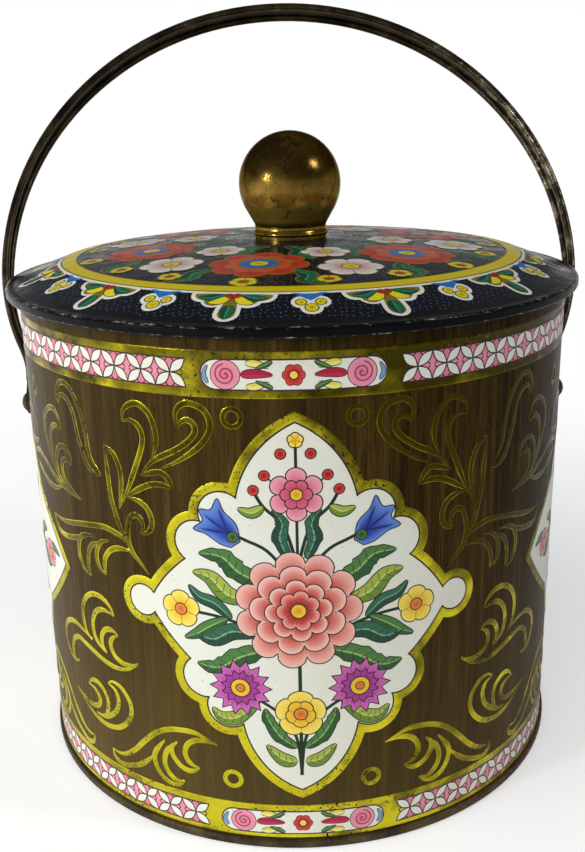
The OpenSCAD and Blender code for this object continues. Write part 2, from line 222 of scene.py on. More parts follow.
class Plate:
    """Flat artwork in millimetres: x along the sheet, y up it, and z the height of each ink."""

    def __init__(self):
        self.points = []
        self.faces = []
        self.inks = []

    def rows(self, rows, inks, heights, closed=False):
        """Joins rows of points into a surface, with one ink and one height for each row."""
        start = len(self.points)
        length = len(rows[0])
        for row, ink, height in zip(rows, inks, heights):
            self.points += [(point[0], point[1], height) for point in row]
            self.inks += [ink] * length
        for j in range(len(rows) - 1):
            for i in range(length if closed else length - 1):
                a, b = start + j * length + i, start + j * length + (i + 1) % length
                self.faces.append((a, b, b + length, a + length))

    def stroke(self, line, width, ink, height, hump=0.0, taper=0.0, closed=False):
        """A line of ink, raised by a hump along its middle, and thinned at both ends by a taper."""
        count = len(line)
        normals = sideways(line, closed)
        halves = []
        for i in range(count):
            share = min(i, count - 1 - i) / max(taper * count, 1)
            halves.append(width / 2 * (min(1, 0.25 + share) if taper else 1))
        profile = ((1, 0), (0.55, 0.8), (0, 1), (-0.55, 0.8), (-1, 0)) if hump else ((1, 0), (-1, 0))
        places = list(zip(line, normals, halves))
        rows = [[p + n * (side * half) for p, n, half in places] for side, _ in profile]
        # Humped strokes mark their middle rows for the painted shade that the gold finish lays along them.
        tones = [ink if abs(side) == 1 else PAINTED_SHADE_MIDDLE for side, _ in profile]
        self.rows(rows, tones, [height + hump * up for _, up in profile], closed)

    def patch(self, outline, focus, inks, height):
        """A filled outline, shaded from its edge to a point inside it through a list of inks."""
        focus = Vector(focus)
        reach = max((point - focus).length for point in outline)
        rings = max(len(inks) - 1, math.ceil(reach / PATCH_STEP))
        rows, tones = [], []
        for ring in range(rings + 1):
            share = ring / rings
            rows.append([point.lerp(focus, min(share, 0.999)) for point in outline])
            place = share * (len(inks) - 1)
            first = int(min(place, max(len(inks) - 2, 0)))
            second = min(first + 1, len(inks) - 1)
            tones.append([a + (b - a) * (place - first) for a, b in zip(inks[first], inks[second])])
        self.rows(rows, tones, [height] * len(rows), closed=True)

    def mirror(self):
        """Adds the artwork's mirror image on the other side of x = 0."""
        count = len(self.points)
        self.points += [(-x, y, z) for x, y, z in self.points]
        self.faces += [tuple(count + i for i in reversed(face)) for face in self.faces]
        self.inks += list(self.inks)

    def shift(self, across):
        """Moves the artwork along the sheet."""
        self.points = [(x + across, y, z) for x, y, z in self.points]

    def join(self, other, turn=0.0):
        """Adds another plate's artwork, turned about the origin."""
        start = len(self.points)
        spin = Matrix.Rotation(turn, 2)
        self.points += [(*(spin @ Vector((x, y))), z) for x, y, z in other.points]
        self.faces += [tuple(start + i for i in face) for face in other.faces]
        self.inks += other.inks

    def facing_up(self):
        """The faces, each turned so that its front is the printed side."""
        turned = []
        for face in self.faces:
            area = 0
            for here, after in zip(face, face[1:] + face[:1]):
                area += self.points[here][0] * self.points[after][1]
                area -= self.points[after][0] * self.points[here][1]
            turned.append(face if area >= 0 else face[::-1])
        return turned


def new_tree(name, *inputs):
    """An empty tree of geometry nodes with named inputs, and the sockets that they come in on."""
    tree = bpy.data.node_groups.new(name, "GeometryNodeTree")
    for label, kind in inputs:
        tree.interface.new_socket(label, in_out="INPUT", socket_type="NodeSocket" + kind)
    tree.interface.new_socket("Print", in_out="OUTPUT", socket_type="NodeSocketGeometry")
    return tree, add(tree, "NodeGroupInput").outputs


def in_a_row(tree, piece, count, spacing):
    """Copies of a piece side by side along x."""
    offset = add(tree, "ShaderNodeCombineXYZ", {"X": spacing}).outputs[0]
    line = add(tree, "GeometryNodeMeshLine", {"Count": count, "Offset": offset}).outputs["Mesh"]
    copies = add(tree, "GeometryNodeInstanceOnPoints", {"Points": line, "Instance": piece})
    return add(tree, "GeometryNodeRealizeInstances", {"Geometry": copies.outputs["Instances"]}).outputs[0]


def in_metres(tree, place):
    """A place in millimetres as metres."""
    scaled = add(tree, "ShaderNodeVectorMath", {0: place, "Scale": 0.001}, operation="SCALE")
    return scaled.outputs["Vector"]


def wall_roller():
    """Rolls artwork round the wall: a row of copies, repeated round, whose x becomes the way round."""
    tree, given = new_tree(
        "Roll artwork round the wall", ("Artwork", "Geometry"), ("Row", "Int"), ("Row spacing", "Float"),
        ("Copies round", "Int"), ("Wall radius", "Float"), ("Turn", "Float"), ("Finish", "Material"),
    )
    row = in_a_row(tree, given["Artwork"], given["Row"], given["Row spacing"])
    way_round = maths(tree, "MULTIPLY", given["Wall radius"], 2 * math.pi)
    spacing = maths(tree, "DIVIDE", way_round, given["Copies round"])
    flat = in_a_row(tree, row, given["Copies round"], spacing)
    place = axes_of(tree, add(tree, "GeometryNodeInputPosition").outputs[0])
    angle = maths(tree, "ADD", maths(tree, "DIVIDE", place["X"], given["Wall radius"]), given["Turn"])
    radius = maths(tree, "ADD", given["Wall radius"], place["Z"])
    back = maths(tree, "MULTIPLY", maths(tree, "COSINE", angle), -1)
    rolled = add(tree, "ShaderNodeCombineXYZ", {
        "X": maths(tree, "MULTIPLY", radius, maths(tree, "SINE", angle)),
        "Y": maths(tree, "MULTIPLY", radius, back),
        "Z": place["Y"],
    }).outputs[0]
    moved = add(tree, "GeometryNodeSetPosition", {
        "Geometry": flat, "Position": in_metres(tree, rolled),
    }).outputs[0]
    inked = add(tree, "GeometryNodeSetMaterial", {"Geometry": moved, "Material": given["Finish"]}).outputs[0]
    add(tree, "NodeGroupOutput", {"Print": inked})
    return tree


def press(name, plate, tree, inputs, body):
    """A plain mesh object that a tree makes from a plate, riding on a body."""
    mesh = bpy.data.meshes.new(name)
    mesh.from_pydata(plate.points, [], plate.facing_up())
    tones = mesh.color_attributes.new("Ink", "FLOAT_COLOR", "POINT")
    tones.data.foreach_set("color", [share for tone in plate.inks for share in (*tone[:3], 1)])
    piece = bpy.data.objects.new(name, mesh)
    bpy.context.scene.collection.objects.link(piece)
    modifier = piece.modifiers.new(name, "NODES")
    modifier.node_group = tree
    for item in tree.interface.items_tree:
        if item.in_out == "INPUT" and item.name in inputs:
            modifier[item.identifier] = inputs[item.name]
    made = bpy.data.meshes.new_from_object(piece.evaluated_get(bpy.context.evaluated_depsgraph_get()))
    piece.modifiers.remove(modifier)
    piece.data = made
    made.shade_smooth()
    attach(piece, body)


def print_wall(name, plate, finish, row=1, spacing=0.0):
    """Prints a plate on the front of the wall and again on the back, or a row of it."""
    press(name, plate, roll_on_wall, {
        "Row": row, "Row spacing": spacing, "Copies round": 2, "Wall radius": OUTSIDE_R,
        "Turn": PRINT_TURN, "Finish": finish,
    }, "tin")


def gold_print(name, painted_shade_from):
    """Yellow lacquer on bright tin, flaked, and darkened to olive by painted shade high up, towards the
    right, over the upper band and along the middles of raised strokes, whose bright edges are painted
    highlights.
    """
    material, tree, skin = new_finish(name)
    place = object_place(tree)
    side = axes_of(tree, place)
    cloud = noise(tree, place, 0.10, 4, 0.6)
    # Painted shade: the gold turns darker olive from a given height up, towards the right and over the upper
    # band.
    darkening = step(tree, side["Z"], painted_shade_from, 114, 0, 0.11)
    darkening = maths(tree, "ADD", darkening, step(tree, side["X"], -10, 50, 0, 0.2))
    darkening = maths(tree, "ADD", darkening, step(tree, side["Z"], 117.5, 121, 0, 0.2))
    # Painted shade along the middle of each raised stroke, stronger higher up, so that the stroke's edges
    # stay bright as painted highlights.
    embossed = add(tree, "ShaderNodeVertexColor", layer_name="Ink").outputs["Color"]
    stroke_middle = step(tree, embossed, 0, 1, 1, 0)
    painted_middle_shade = maths(tree, "MULTIPLY", stroke_middle, step(tree, side["Z"], 40, 100, 0.04, 0.32))
    darkening = maths(tree, "ADD", darkening, painted_middle_shade)
    lacquer = ramp(
        tree, maths(tree, "ADD", cloud, darkening),
        (0.40, colour(246, 234, 54)), (0.56, colour(226, 212, 44)),
        (0.72, colour(150, 138, 30)), (0.92, colour(80, 72, 13)),
    )
    flaked_areas = step(tree, noise(tree, place, 0.05, 2), 0.42, 0.64, -0.06, 0.05)
    flaking = maths(tree, "ADD", noise(tree, place, 1.3, 3, 0.6), flaked_areas)
    bare_shade = step(tree, noise(tree, place, 0.5), 0.45, 0.55)
    bare = blend_tones(tree, bare_shade, colour(46, 36, 14), colour(118, 110, 84))
    feed(tree, skin, {
        "Base Color": blend_tones(tree, step(tree, flaking, 0.615, 0.645), lacquer, bare),
        "Metallic": 1.0,
        "Roughness": step(tree, cloud, 0.3, 0.7, 0.22, 0.38),
    })
    relief(tree, skin, noise(tree, place, 0.8, 3), 0.00006)
    return material


PRINT_TURN = math.radians(-1.4)
HALF_ROUND = math.pi * OUTSIDE_R
PATCH_STEP = 2.0
# GILT marks gold ink; the other mark picks out the middles of raised strokes, which the gold finish darkens
# as painted shade.
GILT = (1, 1, 1)
PAINTED_SHADE_MIDDLE = (0, 0, 0)
GILT_LIFT = 0.02
SCROLL_W = 1.5
SCROLL_HUMP = 0.12
SCROLL_TAPER = 0.3
RING_R = 2.1
RING_W = 1.2
BANDS = ((119.2, 130.0), (2.6, 12.6))
# The rolled edge of a band, as steps inward with their heights
BAND_EDGE = ((0, 0), (0.2, 0.1), (0.5, 0.1), (0.8, GILT_LIFT))

# Each leaf of a scroll is drawn by the lines along its edges, at the right of the front panel
UPPER_LEAVES = (
    ((37.4, 72.9), (39.8, 75.5), (42.2, 78), (43.2, 81), (43, 84.5), (42.1, 87), (40.5, 88.1), (38.8, 87.2),
     (38.3, 85.4), (39.1, 83.5)),
    ((43, 92.3), (39.5, 92), (37.1, 90.7), (35.8, 88.3), (35.9, 85.7), (37.4, 84), (39.1, 83.5)),
    ((42.2, 78), (45.2, 82.9), (46.7, 86.8), (47.9, 91), (48.3, 95.4), (48.6, 99.6), (49.3, 104.5)),
    ((49.3, 104.5), (46.4, 103), (44.8, 100.4), (44.1, 97), (44.4, 93.6), (45.4, 88.8)),
    ((42.5, 111.3), (40, 112), (37.8, 110.8), (36.8, 108.6), (37.1, 106), (38.4, 102.6), (40.5, 97.9),
     (42.2, 94.3), (45.4, 88.8)),
    ((34.5, 103), (33.3, 106), (33, 109), (33.7, 112.3), (35.2, 114.8), (37.6, 116.2), (40, 115.7),
     (41.9, 114), (42.5, 111.3)),
    ((37.9, 98.6), (35.3, 101.8), (32.3, 103.9), (28.1, 106.1), (24.5, 108.7), (22.9, 111), (23.3, 112.8),
     (24.8, 113.6), (26.4, 112.9), (27.1, 111.5)),
    ((33, 100.9), (28.7, 102.8), (24.8, 105.3), (21.7, 107.9), (19.6, 111), (19.3, 113.6), (20.5, 116.1),
     (23, 117.4), (25.4, 117.4), (27.3, 115.7), (27.6, 113.3), (27.1, 111.5)),
    ((37.9, 98.6), (34.8, 99.7), (32.5, 100.1), (30.6, 99), (29.2, 96.3)),
    ((29.2, 96.3), (31.7, 97), (34.5, 96.9), (37.3, 95.8), (39.9, 94.3), (43, 92.3)),
    ((42.2, 78), (44.6, 80.8), (47.2, 81.9), (51.4, 82.5), (56, 81.8), (61, 80.8), (66, 79.6), (71, 78.8),
     (76.2, 79.1)),
    ((76.2, 79.1), (75.2, 76.8), (73.2, 75.1), (69.8, 74.8), (65.2, 75.7), (61.4, 77), (57.4, 78.8)),
    ((54.5, 79), (58.6, 78.4), (61.6, 77), (63, 74), (62.8, 70.6), (61, 68), (58.3, 67.2)),
    ((53.4, 77.6), (56.4, 76.5), (58.3, 74.2), (59.1, 71), (58.9, 68.8), (58.3, 67.2)),
    ((49.8, 79.2), (53.2, 77.9), (54.9, 75.2), (55.2, 72.8), (54.3, 70.5), (52.1, 69.3)),
    ((42.2, 78), (46.4, 78), (49.6, 76.7), (51.8, 74.2), (52.4, 71.5), (52.1, 69.3)),
    ((50.7, 96.4), (53.4, 99), (54.9, 101.6), (55.4, 105.4), (56.6, 110), (58.7, 114.2), (61.6, 116.9),
     (64.4, 117.3), (66.8, 115.8), (67.8, 113), (66.9, 111.3)),
    ((50.7, 96.4), (53.1, 96.1), (56, 98), (57.9, 102), (59.1, 105.6), (59.9, 109.3), (61.3, 112.2),
     (63.5, 113.8), (65.9, 113.7), (66.9, 111.3)),
    ((59.7, 87.5), (64.5, 88.6), (69.1, 90.4), (72.9, 93.8), (75.8, 97.8), (77.3, 101.5), (77, 105.2),
     (75, 107.7), (71.6, 109.3), (68.9, 108.6), (67.1, 106.1), (67, 104)),
    ((67, 104), (69.8, 105), (72.5, 103.6), (73.7, 100.7), (73.3, 96.7), (71.6, 93.2), (69.1, 90.4)),
    ((63.4, 95.7), (63.2, 98), (65.2, 99.9), (68, 99.9), (70.4, 97.8), (71, 95), (70, 91.6)),
    ((63.4, 95.7), (65.6, 96.8), (67.5, 95.9), (68.1, 93.4), (67, 90.9), (64, 89.2), (59.7, 87.5)),
    ((59.7, 87.5), (66, 88.4), (72.5, 90), (77, 91.9), (81.5, 93.5), (85.5, 94), (89.5, 93), (92, 91.4)),
    ((69, 88.6), (73.2, 87.2), (78, 87.2), (82.4, 88.4), (87, 89.8), (92, 91.4)),
    ((83.8, 97.6), (85.2, 101.6), (89, 104.4), (94.6, 104.6), (100, 102.4)),
    ((83.8, 97.6), (89, 95.8), (95, 96.4), (100, 102.4)),
)
LOWER_LEAVES = (
    ((50.4, 58.1), (51.7, 60.2), (54.6, 62), (58.4, 61.9), (61.9, 59.7), (63.9, 56.2), (64, 52.4), (63, 49.5),
     (60.7, 47.7)),
    ((50.4, 58.1), (54.2, 58.7), (57.6, 57.2), (59.5, 53.7), (59.3, 49.9), (57.4, 47.5), (54.4, 46.1)),
    ((49.6, 52.8), (52, 53.7), (54.5, 52.9), (56.1, 50.6), (56.1, 48.1), (54.4, 46.1)),
    ((49.6, 52.8), (51.8, 51.4), (52.7, 49.1), (51.3, 46.4), (48.2, 45.2), (44.9, 45.6), (43, 47)),
    ((43, 47), (46.5, 44.2), (50.7, 43.1), (55.3, 43.3), (59.9, 44.4), (64.6, 45.4), (67.8, 45.7), (70.7, 44),
     (72, 41.4), (72, 38.9), (70.5, 37.7), (68.7, 38.2)),
    ((60.7, 47.7), (64.3, 49), (69.2, 49.7), (72.8, 48.7), (75.5, 46.4), (76.5, 43.3), (75.4, 39.9),
     (73, 37.9), (70.3, 37.4), (68.7, 38.2)),
    ((55.1, 37), (53.2, 38.1), (50.1, 37.6), (47.4, 34.8), (46.8, 31.4), (48.4, 27.9), (52, 24.8),
     (56.6, 23.5), (61.5, 23.9), (66.1, 25.6), (71.6, 28.7)),
    ((55.1, 37), (52.4, 35.8), (51.4, 33.1), (52.4, 29.9), (55.1, 27.2), (58.4, 25.6), (61.5, 25.4)),
    ((64.4, 33.1), (62.4, 35), (59.4, 35.2), (56.7, 33.3), (55.8, 30.4), (56.7, 27.3), (58.4, 25.6)),
    ((64.4, 33.1), (61.3, 32.5), (59.4, 30.4), (60.3, 28.1), (63.2, 27.1), (66.7, 27.3), (71.6, 28.7)),
)
# The spray of leaves at the foot, which is repeated turned over beside the side panel
SPRAY = (
    ((21.2, 28.7), (23.8, 29.8), (27, 31), (30.1, 31.1), (33.9, 30.5), (37.4, 29), (40.4, 26.7), (43.6, 23.4),
     (46.6, 20.1), (50, 17.5), (53, 16.6), (55.4, 17)),
    ((21.2, 28.7), (24.6, 29.2), (27.4, 28.8), (29.5, 27.2), (30.4, 24.9), (29.9, 22.8), (28.3, 21.3),
     (26.4, 21)),
    ((26.4, 21), (27.8, 19.8), (29.9, 19.4), (32.1, 20.4), (33.7, 22.2), (34.4, 24), (34, 25.7),
     (32.4, 27.2)),
    ((32.4, 27.2), (34.2, 25.4), (35.8, 23.6), (36.7, 21), (36.5, 18.7), (35.2, 16.6), (33.1, 15.4),
     (30.8, 15.9)),
    ((30.8, 15.9), (32.6, 14.3), (35.2, 14), (37.7, 15.3), (39.4, 17.8), (39.9, 20.7), (39.1, 22.8),
     (37.7, 24.8), (36.2, 26.7)),
    ((39.9, 21.1), (42.4, 18.4), (45.4, 16), (49.4, 14.2), (52.4, 13.6), (54.8, 14.8), (55.4, 17)),
)
RINGS = ((14.1, 114.7), (17.5, 19.4), (83.4, 112.4), (101.9, 19.4))

roll_on_wall = wall_roller()
# Both golds carry the same painted shade; on the front border it starts higher up.
gold = gold_print("gold_print", painted_shade_from=52)
bright_gold = gold_print("gold_border_print", painted_shade_from=80)

scrolls = Plate()
turned_spray = tuple([(HALF_ROUND / 2 - x, y) for x, y in leaf_edge] for leaf_edge in SPRAY)
for leaf_edge in UPPER_LEAVES + LOWER_LEAVES + SPRAY + turned_spray:
    scrolls.stroke(flow(leaf_edge), SCROLL_W, GILT, GILT_LIFT, SCROLL_HUMP, SCROLL_TAPER)
for ring_x, ring_y in RINGS:
    scrolls.stroke(circle(ring_x, ring_y, RING_R), RING_W, GILT, GILT_LIFT, SCROLL_HUMP, closed=True)
scrolls.mirror()
print_wall("gold_scrolls", scrolls, gold)

bands = Plate()
columns = math.ceil(HALF_ROUND / PATCH_STEP)
band_xs = [HALF_ROUND * (i / columns - 0.5) for i in range(columns + 1)]
for band_low, band_high in BANDS:
    levels_up = [(band_low + inward, height) for inward, height in BAND_EDGE]
    levels_up += [(band_high - inward, height) for inward, height in reversed(BAND_EDGE)]
    band_rows = [[(x, y) for x in band_xs] for y, _ in levels_up]
    bands.rows(band_rows, [GILT] * len(band_rows), [height for _, height in levels_up])
print_wall("gold_bands", bands, gold)


# Printed panels: a scalloped white field with ears on the front and the back, and a pointed one on
# each side, framed by an embossed gold border. Each field holds a printed bunch of flowers.

def circle_of(start, end, rise):
    """Centre and radius of the arc between two points that bulges to the left of the way by a rise."""
    half = (end - start) / 2
    radius = (half.length_squared + rise ** 2) / (2 * rise)
    across = Vector((-half.y, half.x)).normalized()
    return start + half + across * (rise - radius), radius


def crossing(first, second, corner, widen):
    """The point near a corner where two arcs cross when both are moved outward."""
    (a, radius_a), (b, radius_b) = first, second
    radius_a, radius_b = radius_a + widen, radius_b + widen
    gap = b - a
    along = (gap.length_squared + radius_a ** 2 - radius_b ** 2) / (2 * gap.length)
    up = math.sqrt(max(radius_a ** 2 - along ** 2, 0))
    middle = a + gap.normalized() * along
    side = Vector((-gap.y, gap.x)).normalized() * up
    return min((middle + side, middle - side), key=lambda point: (point - corner).length)


def scallops(corners, rises, widen=0.0):
    """A closed outline of arcs, clockwise through its corners, or the same moved outward all round."""
    corners = [Vector(corner) for corner in corners]
    ends = corners[1:] + corners[:1]
    circles = [circle_of(*each) for each in zip(corners, ends, rises)]
    if widen:
        moved = [crossing(circles[i - 1], circles[i], corner, widen) for i, corner in enumerate(corners)]
    else:
        moved = corners
    line = []
    for i, (centre, radius) in enumerate(circles):
        chord = (ends[i] - corners[i]).length
        length = abs(4 * math.atan(2 * rises[i] / chord) * radius)
        steps = max(3, math.ceil(length / OUTLINE_STEP))
        start, end = moved[i] - centre, moved[(i + 1) % len(moved)] - centre
        turn = math.atan2(start.y, start.x) - math.atan2(end.y, end.x)
        turn = turn % (2 * math.pi) if radius > 0 else -(-turn % (2 * math.pi))
        line += [centre + Matrix.Rotation(-turn * k / steps, 2) @ start for k in range(steps)]
    return line


def both_halves(corners, rises):
    """A whole outline from its right half, listed from the top down."""
    left = [(-x, y) for x, y in reversed(corners[1:-1])]
    return list(corners) + left, list(rises) + list(reversed(rises))


def ink(red, green, blue):
    """A printing ink, as linear values."""
    return colour(red, green, blue)[:3]


class Artwork(Plate):
    """A plate with the drawing of flowers and leaves."""

    def __init__(self, outline_ink, outline_w=0.28):
        super().__init__()
        self.outline_ink = outline_ink
        self.outline_w = outline_w

    def filled(self, outline, focus, inks, height):
        """A shape in shaded ink inside a thin outline."""
        count = len(outline)
        middle = sum(outline, Vector((0, 0))) / count
        area = sum(a.x * b.y - b.x * a.y for a, b in zip(outline, outline[1:] + outline[:1]))
        side = -1 if area > 0 else 1
        grown = [p + n * side * self.outline_w for p, n in zip(outline, sideways(outline, True))]
        self.patch(grown, focus or middle, [self.outline_ink] * 2, height)
        self.patch(outline, focus or middle, inks, height + LAYER)

    def petals(self, x, y, radius, lobes, depth, inks, height, turn=0.0, pointed=False):
        """A ring of petals, shaded from the edge to the middle, with thin lines between them."""
        count = lobes * 10
        outline = []
        for i in range(count):
            angle = 2 * math.pi * i / count
            half = lobes * angle / 2
            wave = 1 - abs(math.sin(half)) if pointed else abs(math.cos(half)) ** 0.55
            reach = radius * (1 - depth * (1 - wave))
            outline.append(Vector((x + reach * math.cos(angle + turn), y + reach * math.sin(angle + turn))))
        self.filled(outline, (x, y), inks, height)
        for k in range(lobes):
            angle = turn + 2 * math.pi * (k + 0.5) / lobes
            ray = Vector((math.cos(angle), math.sin(angle)))
            shares = (0.3, 0.5, 0.7, 1 - depth)
            line = [Vector((x, y)) + ray * (radius * share) for share in shares]
            self.stroke(line, 0.7 * self.outline_w, self.outline_ink, height + 2 * LAYER, taper=0.5)

    def disc(self, x, y, radius, inks, height):
        """A round spot in shaded ink inside a thin outline."""
        self.filled(circle(x, y, radius, 20), (x, y), inks, height)

    def leaf(self, spine, width, inks, height, lobes=0):
        """A leaf along a bent line: a light and a dark half, a pale rib and, on wide leaves, dark veins."""
        line = flow(spine, 5)
        last = len(line) - 1
        normals = sideways(line, False)
        halves = []
        for i in range(last + 1):
            share = i / last
            notch = 1 - 0.3 * (share * lobes % 1) if lobes else 1
            halves.append(max(width / 2 * math.sin(math.pi * share ** 0.8) ** 0.8 * notch, 0.03))
        edges = (1, -1)
        places = list(zip(line, normals, halves))
        under = [[p + n * side * (h + self.outline_w) for p, n, h in places] for side in edges]
        self.rows(under, [self.outline_ink] * 2, [height] * 2)
        edge, light, rib, shade = inks
        shares = (1, 0.14, 0.06, -0.06, -0.14, -1)
        rows = [[p + n * side * h for p, n, h in places] for side in shares]
        self.rows(rows, (light, light, rib, rib, shade, shade), [height + LAYER] * 6)
        if width > 3 and rib != edge:
            for i in range(2, last - 1, 2):
                for side in edges:
                    tip = line[i + 1] + normals[i + 1] * (side * 0.8 * halves[i + 1])
                    self.stroke([line[i], tip], 0.17, edge, height + 2 * LAYER)


def levels(lowest):
    """Heights for layer upon layer of ink, from the lowest up."""
    return [lowest + LAYER * k for k in range(20)]


def colour_print():
    """Opaque inks under varnish, yellowed and specked with age."""
    material, tree, skin = new_finish("colour_print")
    place = object_place(tree)
    inks = add(tree, "ShaderNodeVertexColor", layer_name="Ink").outputs["Color"]
    age = step(tree, noise(tree, place, 0.03, 3), 0.35, 0.7, 0.05, 0.3)
    aged = blend_tones(tree, age, inks, colour(236, 226, 196), "MULTIPLY")
    specks = step(tree, noise(tree, place, 1.5, 3, 0.6), 0.70, 0.73, 0, 0.75)
    feed(tree, skin, {
        "Base Color": blend_tones(tree, specks, aged, colour(96, 72, 46)),
        "Roughness": step(tree, noise(tree, place, 0.2), 0.3, 0.7, 0.28, 0.42),
        "IOR": 1.4,
    })
    return material


OUTLINE_STEP = 1.2
FIELD_LIFT = 0.045
LAYER = 0.007
ART_LIFT = FIELD_LIFT + 2 * LAYER
FRONT_BORDER_W = 2.1
SIDE_BORDER_W = 1.8
FIELD_LINE_W = 0.4
# The section of a gold border, as shares of its width with their heights
BORDER_SECTION = ((0, 0.05), (0.15, 0.12), (0.4, 0.16), (0.6, 0.16), (0.85, 0.12), (1, 0))

DARK = ink(46, 34, 30)
CREAM = ink(236, 238, 226)
LEAF_GREEN = (ink(22, 50, 28), ink(78, 130, 66), ink(160, 188, 112), ink(44, 94, 50))
PALE_GREEN = (ink(54, 84, 32), ink(166, 184, 74), ink(214, 214, 130), ink(112, 146, 52))
BLUE_GREEN = (ink(16, 44, 38), ink(50, 108, 80), ink(132, 176, 142), ink(28, 76, 58))
CORAL_OUTER = (ink(244, 196, 184), ink(232, 142, 128), ink(196, 58, 54)) + (ink(176, 40, 42),) * 4
CORAL_MIDDLE = (ink(246, 206, 194), ink(222, 116, 102), ink(182, 46, 46)) + (ink(160, 30, 34),) * 3
CORAL_INNER = (ink(240, 172, 158), ink(204, 74, 66), ink(142, 22, 28), ink(104, 14, 20))
VIOLET = (ink(212, 110, 190), ink(182, 64, 162), ink(112, 28, 100))
BLUE = (ink(104, 142, 216), ink(42, 78, 182), ink(22, 40, 116))
YELLOW = (ink(252, 232, 110), ink(246, 206, 52), ink(222, 146, 34))
ORANGE = (ink(240, 150, 60), ink(206, 92, 34))
ROSE = (ink(244, 170, 184), ink(222, 104, 134), ink(178, 46, 84))
RED = (ink(222, 74, 58), ink(184, 36, 36), ink(120, 20, 26))

FRONT_CORNERS = (
    (0, 114), (14.1, 96), (23.2, 89.4), (27.5, 79.1), (36.5, 68.8),
    (36.5, 62.9), (27.5, 52.4), (23.2, 42.1), (14.3, 35.4), (0, 17.1),
)
FRONT_RISES = (2.75, 4.1, 4.3, 0.6, 7.6, 0.4, 4.1, 4.0, 2.95)
FRONT_MIDDLE = (0, 65.6)
SIDE_CORNERS = (
    (0, 110.5), (14.8, 95.4), (29.4, 82.4), (47.8, 65.5), (29.4, 48.6), (14.8, 35.6), (0, 20.5),
)
SIDE_RISES = (1.6, 3.2, 1.1, 1.1, 3.2, 1.6)


def framed_field(name, corners, rises, bunch, border_w, finish, shift=0.0):
    """A white field with its thin dark line, its flowers and its gold border."""
    whole = both_halves(corners, rises)
    border = Plate()
    rows = [scallops(*whole, widen=border_w * share) for share, _ in BORDER_SECTION]
    border.rows(rows, [GILT] * len(rows), [height for _, height in BORDER_SECTION], closed=True)
    bunch.patch(rows[0], FRONT_MIDDLE, [CREAM] * 2, FIELD_LIFT)
    line = [rows[0], scallops(*whole, widen=-FIELD_LINE_W)]
    bunch.rows(line, [DARK] * 2, [FIELD_LIFT + LAYER] * 2, closed=True)
    for plate in (border, bunch):
        plate.shift(shift)
    print_wall("gold_border_" + name, border, finish)
    print_wall("flowers_" + name, bunch, printed)


